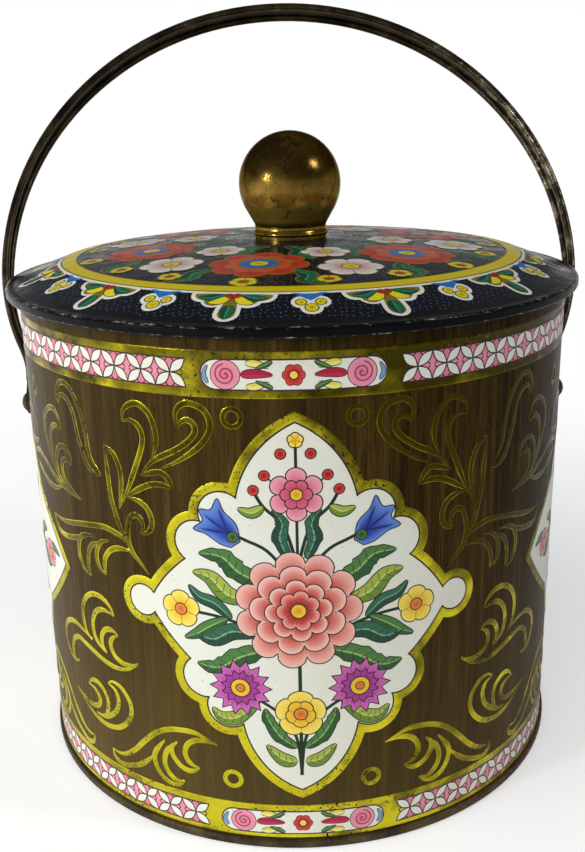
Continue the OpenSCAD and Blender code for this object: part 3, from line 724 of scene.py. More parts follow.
def front_bunch():
    """A dahlia among bellflowers, daisies and primroses, the same on both sides."""
    art = Artwork(DARK)
    level = levels(ART_LIFT)
    stems = (
        ((0, 22.6), (1.2, 32.6), (5.5, 39.6), (13, 44.6)), ((0, 54.6), (8, 60.6), (18, 64.6), (28, 65.6)),
        ((2, 76.6), (7, 82.6), (12, 85.2), (15.4, 86.6)), ((0, 78.6), (3, 88.6), (7.6, 93.6), (9.6, 97)),
    )
    for stem in stems:
        art.stroke(flow(stem), 0.8, LEAF_GREEN[0], level[0])
    leaves = (
        (((1, 25.6), (4.6, 26.2), (8.6, 30.2)), 3.4, PALE_GREEN, 0),
        (((1, 29.6), (5, 32.6), (8, 37.6), (8.6, 40.6)), 3.6, LEAF_GREEN, 3),
        (((8, 56.6), (14, 54.6), (20, 51), (25.4, 51.6)), 5.6, LEAF_GREEN, 5),
        (((10, 60.6), (16, 61.2), (21, 58.6), (26, 60)), 4.2, BLUE_GREEN, 0),
        (((12, 69.6), (17, 71), (21, 75), (25.4, 76)), 4.4, PALE_GREEN, 0),
        (((9, 74.6), (14, 77), (18, 80.6), (23.6, 81)), 5.4, LEAF_GREEN, 5),
        (((2, 80.6), (4, 85.6), (3.4, 89.6), (5.6, 93)), 3.6, BLUE_GREEN, 3),
        (((16, 64.6), (20, 68.2), (24, 69.6), (26.6, 72.4)), 3, BLUE_GREEN, 0),
        (((17, 64.6), (21.6, 62), (25, 59.6), (28.4, 58)), 3, LEAF_GREEN, 0),
        (((10, 42.6), (15.6, 37.6), (19.6, 37.2), (22, 39.6)), 3.6, PALE_GREEN, 0),
        (((7.6, 93.6), (10.4, 92), (13.6, 93)), 2.4, PALE_GREEN, 0),
    )
    for spine, width, greens, lobes in leaves:
        art.leaf(spine, width, greens, level[1], lobes)
    art.petals(14.6, 46, 7.4, 14, 0.24, VIOLET, level[4], pointed=True)
    art.petals(14.6, 46, 4.6, 12, 0.22, VIOLET[1:], level[7], 0.2, pointed=True)
    art.disc(14.6, 46, 2.3, YELLOW[1:], level[10])
    art.disc(14.6, 46, 0.9, ORANGE, level[12])
    art.petals(29, 65.6, 4.8, 5, 0.2, YELLOW, level[4], 0.3)
    art.disc(29, 65.6, 1.4, ORANGE, level[8])
    bell = ((13.4, 84.8), (14.2, 89), (17, 92), (18.4, 95), (20, 92.2), (22.8, 92), (22, 89.4),
            (24.4, 87.2), (21.4, 86.2), (18, 84), (15, 83.2))
    art.filled(flow(bell, 4)[:-1], (15.6, 86.6), BLUE, level[4])
    for tip in ((18.2, 92.6), (21.6, 90.8), (22.6, 87.4)):
        art.stroke(flow(((16, 86.8), tip)), 0.5, BLUE[2], level[7], taper=0.4)
    art.disc(15, 85.8, 1.2, (LEAF_GREEN[1], LEAF_GREEN[0]), level[8])
    for bud_x, bud_y in ((9.8, 97.6), (7.2, 101.2), (3.4, 106.4)):
        art.disc(bud_x, bud_y, 1.1, RED, level[4])
    art.stroke(flow(((2.6, 96.6), (5.4, 99.6), (7.2, 101.2))), 0.4, LEAF_GREEN[0], level[1])
    art.mirror()
    art.stroke(flow(((0, 21.6), (0, 38.6), (0, 58.6))), 0.9, LEAF_GREEN[0], level[0])
    art.stroke(flow(((0, 78.6), (0, 90.6), (0, 108.6))), 0.7, LEAF_GREEN[0], level[0])
    art.petals(0, 39.2, 6.2, 5, 0.18, YELLOW, level[4], math.pi / 2)
    art.petals(0, 39.2, 3.6, 5, 0.2, YELLOW[1:], level[7], -math.pi / 2)
    art.disc(0, 39.2, 1.5, ORANGE, level[10])
    art.petals(0, 67.2, 15.2, 11, 0.2, CORAL_OUTER, level[5])
    art.petals(0, 67.2, 11.6, 9, 0.22, CORAL_MIDDLE, level[8], 0.3)
    art.petals(0, 67.2, 8, 8, 0.24, CORAL_MIDDLE, level[11], 0.1)
    art.petals(0, 67.2, 5.2, 7, 0.24, CORAL_INNER, level[14], 0.5)
    art.disc(0, 67.2, 1.7, YELLOW[1:], level[17])
    art.petals(0, 96.6, 6.4, 6, 0.34, ROSE, level[5], math.pi / 2)
    art.petals(0, 96.6, 3.6, 6, 0.3, ROSE[1:], level[8])
    art.disc(0, 96.6, 1.3, YELLOW[1:], level[11])
    art.petals(0, 109.6, 1.7, 5, 0.2, YELLOW, level[5], math.pi / 2)
    return art


def side_bunch():
    """A rose between four leaves, with a small pink blossom towards each side."""
    art = Artwork(DARK)
    level = levels(ART_LIFT)
    for stem in (((8, 65), (20, 65), (30, 65.8), (36, 65.4)), ((0, 39), (4, 45), (7, 53))):
        art.stroke(flow(stem), 0.8, LEAF_GREEN[0], level[0])
    leaves = (
        (((9, 71), (16, 75), (20, 81), (25, 82)), 6, LEAF_GREEN, 4),
        (((9, 59), (16, 55), (20, 50), (25, 49)), 6, BLUE_GREEN, 4),
        (((2, 51), (6, 45), (6, 39), (9, 35)), 4.4, PALE_GREEN, 3),
        (((2, 81), (6, 87), (6, 93), (9, 96)), 4.4, BLUE_GREEN, 3),
        (((24, 65), (28, 69.6), (33, 70.6)), 3, LEAF_GREEN, 0),
        (((27, 65.6), (31, 61), (35, 60.6)), 3, BLUE_GREEN, 0),
        (((35, 65.6), (39, 67.6), (43.6, 66.4)), 2.2, LEAF_GREEN, 0),
    )
    for spine, width, greens, lobes in leaves:
        art.leaf(spine, width, greens, level[1], lobes)
    art.petals(35.6, 64.6, 4, 6, 0.22, ROSE, level[4], 0.2)
    art.disc(35.6, 64.6, 1.1, YELLOW[1:], level[7])
    art.mirror()
    art.petals(0, 65, 12.6, 9, 0.2, ROSE, level[4])
    art.petals(0, 65, 9, 8, 0.22, CORAL_MIDDLE, level[7], 0.3)
    art.petals(0, 65, 5.6, 7, 0.24, ROSE, level[10], 0.6)
    art.disc(0, 65, 1.8, YELLOW[1:], level[13])
    art.petals(0, 93, 5.4, 8, 0.3, BLUE, level[4], 0.2, pointed=True)
    art.disc(0, 93, 1.7, YELLOW[1:], level[7])
    art.petals(0, 38, 5.4, 5, 0.2, YELLOW, level[4], math.pi / 2)
    art.disc(0, 38, 1.5, ORANGE, level[7])
    return art


printed = colour_print()
framed_field("front", FRONT_CORNERS, FRONT_RISES, front_bunch(), FRONT_BORDER_W, bright_gold)
framed_field("side", SIDE_CORNERS, SIDE_RISES, side_bunch(), SIDE_BORDER_W, gold, HALF_ROUND / 2)


# Printed bands: along both gold bands runs a pink lattice of overlapping circles, which stops at a
# white tablet with two roundels in the middle of the front and of the back.

TABLET_HALF = 21.0
ROUNDEL_X = 15.2
FINE_LINE = 0.2
LATTICE_START = 24.5
LATTICE_CELLS = 25
LATTICE_PETAL_W = 2.25
CELL_W = (HALF_ROUND - 2 * LATTICE_START) / LATTICE_CELLS
STRIPS = ((124.6, 6.9), (7.3, 6.6))
BAND_LIFT = GILT_LIFT + 0.02
PINK = (ink(238, 154, 176), ink(226, 120, 150), ink(150, 36, 74))
PALE_YELLOW = (ink(226, 220, 96), ink(240, 236, 130), ink(240, 236, 130), ink(226, 220, 96))
CRIMSON = (ink(120, 20, 40), ink(196, 40, 76), ink(150, 26, 52), ink(174, 30, 60))


def lattice_cell(middle, tall):
    """One cell: four pointed white petals from its middle to its corners, and dark ticks on the pink."""
    art = Artwork(ink(62, 38, 42))
    level = levels(BAND_LIFT)
    xs = [CELL_W * (i / 4 - 0.5) for i in range(5)]
    ground = [[(x, middle + tall * share) for x in xs] for share in (-0.5, -0.46, 0, 0.46, 0.5)]
    art.rows(ground[:2], [DARK] * 2, [level[3]] * 2)
    art.rows(ground[1:4], (PINK[1], PINK[0], PINK[1]), [level[0]] * 3)
    art.rows(ground[3:], [DARK] * 2, [level[3]] * 2)
    for across, up in ((1, 1), (1, -1), (-1, 1), (-1, -1)):
        way = Vector((across * CELL_W / 2, up * tall * 0.48))
        side = Vector((-way.y, way.x)).normalized()
        line = [Vector((0, middle)) + way * (i / 8) for i in range(9)]
        bulge = [LATTICE_PETAL_W / 2 * math.sin(math.pi * i / 8) for i in range(9)]
        edges = [[p + side * (turn * b) for p, b in zip(line, bulge)] for turn in (1, -1)]
        art.rows(edges, [CREAM] * 2, [level[1]] * 2)
        for turn, edge in zip((1, -1), edges):
            art.stroke(edge, 0.3, art.outline_ink, level[2])
            art.stroke([edge[4], edge[4] + side * (0.9 * turn)], 0.3, art.outline_ink, level[2])
    return art


def tablet(middle, tall):
    """The white tablet: a pink roundel at each end, pointed leaves, and a red flower in the middle."""
    art = Artwork(ink(66, 36, 50), FINE_LINE)
    half = tall / 2
    level = levels(BAND_LIFT)
    straight = TABLET_HALF - half
    low, high = middle - half, middle + half
    corners = ((-straight, high), (straight, high), (straight, low), (-straight, low))
    outline = scallops(corners, (0.02, half * 0.98, 0.02, half * 0.98))
    rows = [[Vector((x, middle + (y - middle) * share)) for x, y in outline] for share in (1, 0.5, 0.001)]
    art.rows(rows, [CREAM] * 3, [level[0]] * 3, closed=True)
    art.stroke(outline, 0.35, art.outline_ink, level[1], closed=True)
    side = Artwork(art.outline_ink, FINE_LINE)
    side.disc(ROUNDEL_X, middle, 0.95 * half, PINK[:2], level[1])
    spiral = []
    for k in range(36):
        angle = 0.4 * k
        reach = 0.052 * half * angle
        spiral.append(Vector((ROUNDEL_X + reach * math.cos(angle), middle + reach * math.sin(angle))))
    side.stroke(spiral, 0.3, PINK[2], level[4])
    crescent = ((19.2, middle - 0.6 * half), (20.1, middle), (19.2, middle + 0.6 * half))
    side.leaf(crescent, 0.8, (ink(120, 164, 200),) * 4, level[1])
    for up in (1, -1):
        spray = [(10.6, 0.78), (8.2, 0.74), (5.4, 0.5)]
        side.leaf([(x, middle + up * share * half) for x, share in spray], 1.5, PALE_YELLOW, level[1])
        spray = [(4.6, 0.9), (6.2, 0.66), (8.4, 0.4)]
        side.leaf([(x, middle + up * share * half) for x, share in spray], 0.9, LEAF_GREEN, level[3])
    side.leaf(((11.8, middle), (8.6, middle + 0.1 * half), (4.6, middle)), 1.9, CRIMSON, level[5])
    side.mirror()
    art.join(side)
    art.petals(0, middle, 0.7 * half, 6, 0.26, RED, level[5])
    art.disc(0, middle, 0.24 * half, YELLOW[:2], level[8])
    return art


gold_ends = Plate()
for where, (strip_middle, strip_tall) in zip(("upper", "lower"), STRIPS):
    end_corners = ((0.5 * CELL_W, 0), (0, 0.46 * strip_tall), (-0.1, 0), (0, -0.46 * strip_tall))
    end_corners = [Vector((LATTICE_START + x, strip_middle + y)) for x, y in end_corners]
    end_focus = (LATTICE_START + 0.1 * CELL_W, strip_middle)
    gold_ends.patch(end_corners, end_focus, [GILT] * 2, BAND_LIFT + LAYER / 2)
    cell = lattice_cell(strip_middle, strip_tall)
    cell.shift(LATTICE_START + CELL_W / 2)
    print_wall("lattice_" + where, cell, printed, LATTICE_CELLS, CELL_W)
    print_wall("tablets_" + where, tablet(strip_middle, strip_tall), printed)
gold_ends.mirror()
print_wall("gold_lattice_ends", gold_ends, gold)


# Bottom end: a pressed disc of tinplate, lacquered brown, whose edge is rolled round the foot of the
# wall. The rolled seam stands on the shelf, so it is rubbed to bare metal and has rusted in patches.

def base_lacquer():
    """Brown lacquer, rubbed on the seam and rusted most at the right."""
    material, tree, skin = new_finish("base_lacquer")
    place = object_place(tree)
    side = axes_of(tree, place)
    lacquer = ramp(
        tree, noise(tree, place, 0.12, 4, 0.6),
        (0.35, colour(44, 34, 14)), (0.5, colour(70, 58, 28)), (0.68, colour(96, 82, 46)),
    )
    rubbed = step(tree, noise(tree, place, 0.7, 5, 0.7), 0.58, 0.64, 0, 0.6)
    worn = blend_tones(tree, rubbed, lacquer, colour(112, 104, 84))
    damp_side = step(tree, side["X"], 20, 60, -0.10, 0.05)
    rust = step(tree, maths(tree, "ADD", noise(tree, place, 0.35, 5, 0.7), damp_side), 0.52, 0.60)
    rust_shade = noise(tree, place, 1.1, 4)
    rust_tone = ramp(tree, rust_shade, (0.35, colour(50, 28, 14)), (0.65, colour(112, 66, 36)))
    feed(tree, skin, {
        "Base Color": blend_tones(tree, rust, worn, rust_tone),
        "Metallic": maths(tree, "MULTIPLY", maths(tree, "SUBTRACT", 1.0, rust), 0.45),
        "Roughness": step(tree, rust, 0, 1, 0.4, 0.8),
    })
    relief(tree, skin, noise(tree, place, 0.9, 5, 0.7), 0.00012)
    return material


dress("bottom_end", base_lacquer())


# Lid cover: a domed pressing of the same tinplate, printed near black with rows of small blue dots.
# A yellow ring and a border of lappets run round its shoulder, and flowers fill the middle.

def lid_presser():
    """Lays turned copies of artwork on the lid: each point drops straight down onto it."""
    tree, given = new_tree(
        "Lay artwork on the lid", ("Artwork", "Geometry"), ("Copies", "Int"), ("Turn", "Float"),
        ("Lid", "Object"), ("Finish", "Material"),
    )
    line = add(tree, "GeometryNodeMeshLine", {"Count": given["Copies"], "Offset": (0, 0, 0)}).outputs["Mesh"]
    number = add(tree, "GeometryNodeInputIndex").outputs[0]
    pitch = maths(tree, "DIVIDE", 2 * math.pi, given["Copies"])
    angle = maths(tree, "ADD", maths(tree, "MULTIPLY", number, pitch), given["Turn"])
    turned = add(tree, "ShaderNodeCombineXYZ", {"Z": angle}).outputs[0]
    copies = add(tree, "GeometryNodeInstanceOnPoints", {
        "Points": line, "Instance": given["Artwork"], "Rotation": turned,
    }).outputs["Instances"]
    flat = add(tree, "GeometryNodeRealizeInstances", {"Geometry": copies}).outputs[0]
    onto_lid(tree, flat, given)
    return tree


def onto_lid(tree, flat, given):
    """The end of a tree: drops flat artwork onto the lid and inks it."""
    parts = axes_of(tree, in_metres(tree, add(tree, "GeometryNodeInputPosition").outputs[0]))
    above = add(tree, "ShaderNodeCombineXYZ", {"X": parts["X"], "Y": parts["Y"], "Z": 0.5}).outputs[0]
    lid = add(tree, "GeometryNodeObjectInfo", {"Object": given["Lid"]}).outputs["Geometry"]
    hit = add(tree, "GeometryNodeRaycast", {
        "Target Geometry": lid, "Source Position": above, "Ray Direction": (0, 0, -1), "Ray Length": 1.0,
    }).outputs["Hit Position"]
    lift = add(tree, "ShaderNodeCombineXYZ", {"Z": parts["Z"]}).outputs[0]
    lifted = add(tree, "ShaderNodeVectorMath", {0: hit, 1: lift}, operation="ADD").outputs["Vector"]
    moved = add(tree, "GeometryNodeSetPosition", {"Geometry": flat, "Position": lifted}).outputs[0]
    inked = add(tree, "GeometryNodeSetMaterial", {"Geometry": moved, "Material": given["Finish"]}).outputs[0]
    add(tree, "NodeGroupOutput", {"Print": inked})


def dot_scatter():
    """Rows of dots over the lid: a square grid of points, cut to a ring, with the artwork on each."""
    tree, given = new_tree(
        "Scatter dots on the lid", ("Artwork", "Geometry"), ("Spacing", "Float"), ("Inner radius", "Float"),
        ("Outer radius", "Float"), ("Lid", "Object"), ("Finish", "Material"),
    )
    across = maths(tree, "MULTIPLY", given["Outer radius"], 2)
    count = maths(tree, "DIVIDE", across, given["Spacing"])
    grid = add(tree, "GeometryNodeMeshGrid", {
        "Size X": across, "Size Y": across, "Vertices X": count, "Vertices Y": count,
    }).outputs["Mesh"]
    place = add(tree, "GeometryNodeInputPosition").outputs[0]
    reach = add(tree, "ShaderNodeVectorMath", {0: place}, operation="LENGTH").outputs["Value"]
    too_near = maths(tree, "LESS_THAN", reach, given["Inner radius"])
    too_far = maths(tree, "GREATER_THAN", reach, given["Outer radius"])
    cut = add(tree, "GeometryNodeDeleteGeometry", {
        "Geometry": grid, "Selection": maths(tree, "MAXIMUM", too_near, too_far),
    }).outputs[0]
    shake = add(tree, "FunctionNodeRandomValue", {
        "Min": (-DOT_SHAKE, -DOT_SHAKE, 0), "Max": (DOT_SHAKE, DOT_SHAKE, 0), "Seed": 3,
    }, data_type="FLOAT_VECTOR").outputs[0]
    shaken = add(tree, "GeometryNodeSetPosition", {"Geometry": cut, "Offset": shake}).outputs[0]
    dots = add(tree, "GeometryNodeInstanceOnPoints", {"Points": shaken, "Instance": given["Artwork"]})
    flat = add(tree, "GeometryNodeRealizeInstances", {"Geometry": dots.outputs["Instances"]}).outputs[0]
    onto_lid(tree, flat, given)
    return tree


def lid_print():
    """Near-black varnished print, rubbed to bright metal along both edges of the lip."""
    material, tree, skin = new_finish("lid_print")
    place = object_place(tree)
    height = axes_of(tree, place)["Z"]
    reach = axis_distance(tree)
    black = blend_tones(tree, noise(tree, place, 0.05, 3), colour(5, 6, 8), colour(11, 12, 16))
    foot = step(tree, height, LIP_FOOT + 0.3, LIP_FOOT + 0.8, 1, 0)
    rim = step(tree, reach, LIP_R - 1.6, LIP_R - 0.6)
    bend = maths(tree, "MULTIPLY", step(tree, height, LIP_TOP - 0.8, LIP_TOP - 0.3), rim)
    lip = step(tree, reach, LIP_R - 2.8, LIP_R - 1.4)
    edge = maths(tree, "MULTIPLY", maths(tree, "MAXIMUM", foot, bend), lip)
    nicks = noise(tree, object_place(tree, (1, 1, 4)), 0.3, 7, 0.78)
    rubbing = maths(tree, "ADD", nicks, maths(tree, "MULTIPLY", edge, 0.16))
    scratches = step(tree, rubbing, 0.70, 0.76)
    worn = blend_tones(tree, scratches, black, colour(168, 164, 154))
    under = maths(tree, "LESS_THAN", height, LIP_FOOT - 0.1)
    feed(tree, skin, {
        "Base Color": blend_tones(tree, under, worn, colour(150, 136, 98)),
        "Metallic": maths(tree, "MULTIPLY", maths(tree, "MAXIMUM", scratches, under), 0.8),
        "Roughness": step(tree, noise(tree, place, 0.3, 4), 0.3, 0.7, 0.2, 0.34),
        "IOR": 1.2,
    })
    relief(tree, skin, noise(tree, place, 0.06, 3), 0.0005)
    return material


def lid_inks():
    """The lid's inks, under a thinner varnish than the wall's."""
    material = printed.copy()
    material.name = "lid_inks"
    material.node_tree.nodes["Principled BSDF"].inputs["IOR"].default_value = 1.14
    return material


def print_lid(name, plate, copies, turn=0.0):
    """Prints turned copies of a plate on the lid; the plate's y axis points outward."""
    press(name, plate, lay_on_lid, {
        "Copies": copies, "Turn": math.pi + LID_TURN + turn,
        "Lid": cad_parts["lid_cover"], "Finish": lid_colours,
    }, "lid")


LID_TURN = math.radians(-12.9)
LIP_FOOT = 133.3
LIP_TOP = 135.9
LIP_R = 79.4
LID_LIFT = 0.03
BORDER_COPIES = 12
FLOWER_COPIES = 6
DOT_R = 0.22
DOT_LIFT = 0.02
DOT_SHAKE = 0.35
OLIVE = ink(118, 104, 34)
LID_YELLOW = (ink(214, 200, 30), ink(200, 180, 8), ink(150, 128, 14))
LID_GREEN = (ink(8, 40, 30), ink(22, 100, 68), ink(70, 140, 104), ink(14, 72, 52))
LID_WHITE = ink(214, 214, 206)
LID_BLUE = ink(36, 104, 176)
LID_RED = (ink(180, 60, 42), ink(148, 36, 28), ink(96, 18, 18))
DOT_BLUE = ink(62, 82, 134)

dress("lid_cover", lid_print())
lid_colours = lid_inks()
lay_on_lid = lid_presser()

dot = Plate()
dot.patch(circle(0, 0, DOT_R, 6), (0, 0), [DOT_BLUE] * 2, DOT_LIFT)
press("lid_dots", dot, dot_scatter(), {
    "Spacing": 1.45, "Inner radius": 12.0, "Outer radius": 75.0,
    "Lid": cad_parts["lid_cover"], "Finish": lid_colours,
}, "lid")


def ring_piece(plate, radii, tone, height):
    """One copy's part of a ring about the lid's axis."""
    angles = [2 * math.pi / BORDER_COPIES * (i / 16 - 0.5) for i in range(17)]
    rows = [[(radius * math.sin(a), radius * math.cos(a)) for a in angles] for radius in radii]
    plate.rows(rows, [tone] * len(rows), [height] * len(rows))


def lid_border():
    """One twelfth of the border: the yellow ring, a large lappet and a small one beside it."""
    art = Artwork(DARK, FINE_LINE)
    level = levels(LID_LIFT)
    ring_piece(art, (59.8, 60.2), OLIVE, level[8])
    ring_piece(art, (60.2, 62, 63.9), LID_YELLOW[1], level[8])
    ring_piece(art, (63.9, 64.3), ink(90, 74, 24), level[8])
    ring_piece(art, (64.3, 65.1), LID_WHITE, level[6])
    right = ((9.7, 63.8), (7, 68.2), (2.8, 70.3), (3, 73))
    corners = [(-x, y) for x, y in right] + list(reversed(right))
    rises = (1.4, 1.0, 0.05, 3.0, 0.05, 1.0, 1.4, 0.02)
    for widen, tone, height in ((0, LID_WHITE, 0), (-1.0, OLIVE, 1)):
        art.patch(scallops(corners, rises, widen), (0, 67), [tone] * 2, level[height])
    leaves = (
        (((2.2, 65.4), (5, 66.6), (8, 66.2)), 2.4, LID_GREEN, level[2]),
        (((0.9, 66.2), (2.6, 68), (5.2, 68.6)), 2.3, LID_YELLOW[:1] * 4, level[3]),
    )
    for across in (-1, 1):
        for spine, width, tones, height in leaves:
            art.leaf([(across * x, y) for x, y in spine], width, tones, height)
    art.leaf(((0, 69.6), (0, 72.4), (0, 75.2)), 2.9, LID_GREEN, level[5])
    for across in (-1, 0, 1):
        art.disc(across * 0.9, 66.4 - abs(across) * 0.6, 0.75, LID_RED, level[6])
    small = Artwork(DARK, FINE_LINE)
    for x, y, radius in ((-2.2, 68.4, 2.3), (2.2, 68.4, 2.3), (0, 70.7, 2.6)):
        small.patch(circle(x, y, radius), (x, y), [LID_WHITE] * 2, level[0])
        small.patch(circle(x, y, radius - 0.9), (x, y), [OLIVE] * 2, level[1])
        small.disc(x, y, radius - 1.2, LID_YELLOW, level[2])
    blue_field = [Vector(corner) for corner in ((-4.2, 64.6), (0, 67.9), (4.2, 64.6))]
    small.patch(blue_field, (0, 65.6), [LID_BLUE] * 2, level[7])
    art.join(small, -math.pi / BORDER_COPIES)
    return art


def lid_flowers():
    """One sixth of the flowers round the knob."""
    art = Artwork(OLIVE, 0.45)
    level = levels(LID_LIFT)
    leaves = (
        (((2, 18), (7, 22), (8, 29), (13, 33)), 5.4),
        (((9, 45), (14, 49), (14.4, 54), (20, 55.4)), 5),
    )
    for spine, width in leaves:
        for across in (1, -1):
            art.leaf([(across * x, y) for x, y in spine], width, LID_GREEN, level[0], lobes=4)
    art.petals(0, 40, 12.4, 8, 0.2, LID_RED, level[2])
    art.petals(0, 40, 8.4, 8, 0.2, (ink(188, 84, 50), LID_RED[0], LID_RED[1]), level[5], 0.4)
    art.disc(0, 40, 4.8, (LID_BLUE, ink(26, 76, 140)), level[8])
    art.disc(0, 40, 2.2, LID_YELLOW, level[10])
    art.petals(0, 56.4, 3.2, 5, 0.2, LID_YELLOW, level[2], math.pi / 2)
    art.disc(0, 56.4, 1, LID_RED[:2], level[5])
    pale = (LID_WHITE, ink(196, 170, 168), ink(150, 64, 88))
    between = math.pi / FLOWER_COPIES
    for reach, radius in ((28, 6.4), (45.6, 8)):
        spot = Matrix.Rotation(between, 2) @ Vector((0, reach))
        art.petals(spot.x, spot.y, radius, 6, 0.26, pale, level[4], 0.3)
        art.disc(spot.x, spot.y, 0.26 * radius, LID_YELLOW, level[7])
    for aside in (-9.4, 9.4):
        spot = Matrix.Rotation(between + math.radians(aside), 2) @ Vector((0, 55.2))
        art.petals(spot.x, spot.y, 2.8, 5, 0.2, LID_YELLOW, level[9], 0.5)
        art.disc(spot.x, spot.y, 0.9, LID_RED[:2], level[12])
    return art


print_lid("lid_border", lid_border(), BORDER_COPIES)
print_lid("lid_flowers", lid_flowers(), FLOWER_COPIES)


# Lid plug: a plain ring of tinplate inside the mouth, gripped by the lid's lip. It was never printed
# and shows bare tin with a thin yellow lacquer, dulled where it rubs on the wall.

def bare_tin():
    """Tin under a thin yellow lacquer, spotted with age."""
    material, tree, skin = new_finish("bare_tin")
    place = object_place(tree)
    cloud = noise(tree, place, 0.06, 4, 0.6)
    tone = ramp(tree, cloud, (0.35, colour(142, 128, 92)), (0.6, colour(184, 174, 144)))
    spots = step(tree, noise(tree, place, 0.5, 5, 0.7), 0.64, 0.70, 0, 0.7)
    feed(tree, skin, {
        "Base Color": blend_tones(tree, spots, tone, colour(96, 78, 54)),
        "Metallic": 0.85,
        "Roughness": step(tree, cloud, 0.3, 0.7, 0.30, 0.45),
    })
    rubs = noise(tree, object_place(tree, (1, 1, 0.05)), 1.2, 4)
    relief(tree, skin, rubs, 0.00003)
    return material


dress("lid_plug", bare_tin())


# Knob: a ball spun as a thin shell from brass sheet, with a waisted neck and a foot bead, closed by a brass
# disc.
# The polish has turned brown in patches, the top and the left of the ball are darkened with painted shade,
# and the ball is scuffed where hands and shelves have touched it.

SCUFFED_SPOT = (-6, -10, 171)


def knob_brass():
    """Brass with brown patches, darker at the top and the left as painted shade, still polished round the
    foot and scuffed in places.
    """
    material, tree, skin = new_finish("knob_brass")
    place = object_place(tree)
    side = axes_of(tree, place)
    cloud = noise(tree, place, 0.07, 5, 0.65)
    # Painted shade: the ball's tone is pushed darker towards the top and towards the left.
    browning_and_painted_shade = maths(tree, "ADD", cloud, step(tree, side["Z"], 154, 172, 0.2, -0.2))
    browning_and_painted_shade = maths(tree, "ADD", browning_and_painted_shade, step(tree, side["X"], -14, -3, -0.14, 0))
    tone = ramp(
        tree, browning_and_painted_shade,
        (0.30, colour(82, 62, 25)), (0.46, colour(122, 96, 40)), (0.62, colour(158, 129, 56)),
    )
    away = add(tree, "ShaderNodeVectorMath", {0: place, 1: SCUFFED_SPOT}, operation="DISTANCE")
    scuff_mix = maths(tree, "ADD", noise(tree, place, 0.5, 6, 0.75), maths(tree, "MULTIPLY", cloud, 0.18))
    scuff_mix = maths(tree, "ADD", scuff_mix, step(tree, away.outputs["Value"], 3, 10, 0.13, 0))
    scuffs = step(tree, scuff_mix, 0.64, 0.70, 0, 0.8)
    ball_polish = step(tree, side["Z"], 152, 164, 0.68, 0.94)
    foot_polish = step(tree, side["Z"], 148.5, 151, 1, 0.6)
    feed(tree, skin, {
        "Base Color": blend_tones(tree, scuffs, tone, colour(58, 45, 22)),
        "Metallic": maths(tree, "MAXIMUM", ball_polish, foot_polish),
        "Specular Tint": (0.42, 0.40, 0.32, 1),
        "Roughness": step(tree, scuffs, 0, 0.8, 0.18, 0.4),
    })
    relief(tree, skin, noise(tree, place, 0.9, 5, 0.7), 0.00004)
    return material


brass = knob_brass()
dress("knob_shell", brass)
dress("knob_base", brass)


# Knob screw and washer: plain turned steel with a thin zinc plating. The screw comes up through the
# washer and the lid from below and holds the knob by the boss of its disc.

def zinc_steel():
    """Zinc-plated steel, slightly clouded."""
    material, tree, skin = new_finish("zinc_steel")
    place = object_place(tree)
    cloud = noise(tree, place, 0.4, 4, 0.6)
    tone = ramp(tree, cloud, (0.35, colour(138, 136, 128)), (0.65, colour(182, 181, 174)))
    feed(tree, skin, {
        "Base Color": tone, "Metallic": 0.9, "Roughness": step(tree, cloud, 0.3, 0.7, 0.3, 0.5),
    })
    return material


zinc = zinc_steel()
dress("knob_screw", zinc)
dress("knob_washer", zinc)


# Bail handle: one strip of brass with both edges rolled, bent to an arch, its ends flattened, drilled
# and hung on the rivets. It has tarnished to a dark brown and is rubbed bright in patches, which grow towards
# its right arm as a painted highlight.

def handle_brass():
    """Brass tarnished dark, spotted, and rubbed bright in patches, with more pale patches towards the right
    as a painted highlight.
    """
    material, tree, skin = new_finish("handle_brass")
    place = object_place(tree)
    side = axes_of(tree, place)["X"]
    cloud = noise(tree, place, 0.09, 5, 0.65)
    tone = ramp(
        tree, cloud,
        (0.34, colour(38, 29, 20)), (0.48, colour(62, 52, 37)),
        (0.60, colour(82, 72, 51)), (0.72, colour(100, 80, 52)),
    )
    spots = step(tree, noise(tree, place, 0.9, 5, 0.7), 0.58, 0.64, 0, 0.7)
    darkening = blend_tones(tree, spots, tone, colour(28, 23, 18))
    # Partly real rubbing, partly painted highlight: the pale rubbed patches grow in number towards the right.
    rubbing = maths(tree, "ADD", noise(tree, place, 0.22, 6, 0.7), step(tree, side, 40, 80, -0.04, 0.10))
    rubbed = step(tree, rubbing, 0.56, 0.72, 0, 0.7)
    feed(tree, skin, {
        "Base Color": blend_tones(tree, rubbed, darkening, colour(182, 174, 148)),
        "Metallic": 0.9,
        "Roughness": step(tree, cloud, 0.3, 0.7, 0.30, 0.45),
    })
    relief(tree, skin, noise(tree, place, 1.4, 4, 0.6), 0.00004)
    return material


dress("bail_handle", handle_brass())


# Pivot rivets and their backing washers: shouldered brass rivets set through the wall from outside,
# dull with age, clenched over plain steel washers on the inside.

def rivet_brass():
    """Dull brass, brown in its hollows."""
    material, tree, skin = new_finish("rivet_brass")
    place = object_place(tree)
    cloud = noise(tree, place, 0.5, 5, 0.65)
    tone = ramp(
        tree, cloud,
        (0.36, colour(50, 42, 26)), (0.6, colour(88, 77, 50)), (0.72, colour(128, 117, 84)),
    )
    feed(tree, skin, {
        "Base Color": tone, "Metallic": 0.9, "Roughness": step(tree, cloud, 0.3, 0.7, 0.32, 0.5),
    })
    relief(tree, skin, cloud, 0.00005)
    return material


dull_brass = rivet_brass()
for which in ("left", "right"):
    dress("pivot_rivet_" + which, dull_brass)
    dress("backing_washer_" + which, zinc)


# Studio: pale paper that fades into a white backdrop, two large soft lamps and a small one at the left,
# another small one at the right, and the camera where the photograph was taken from.

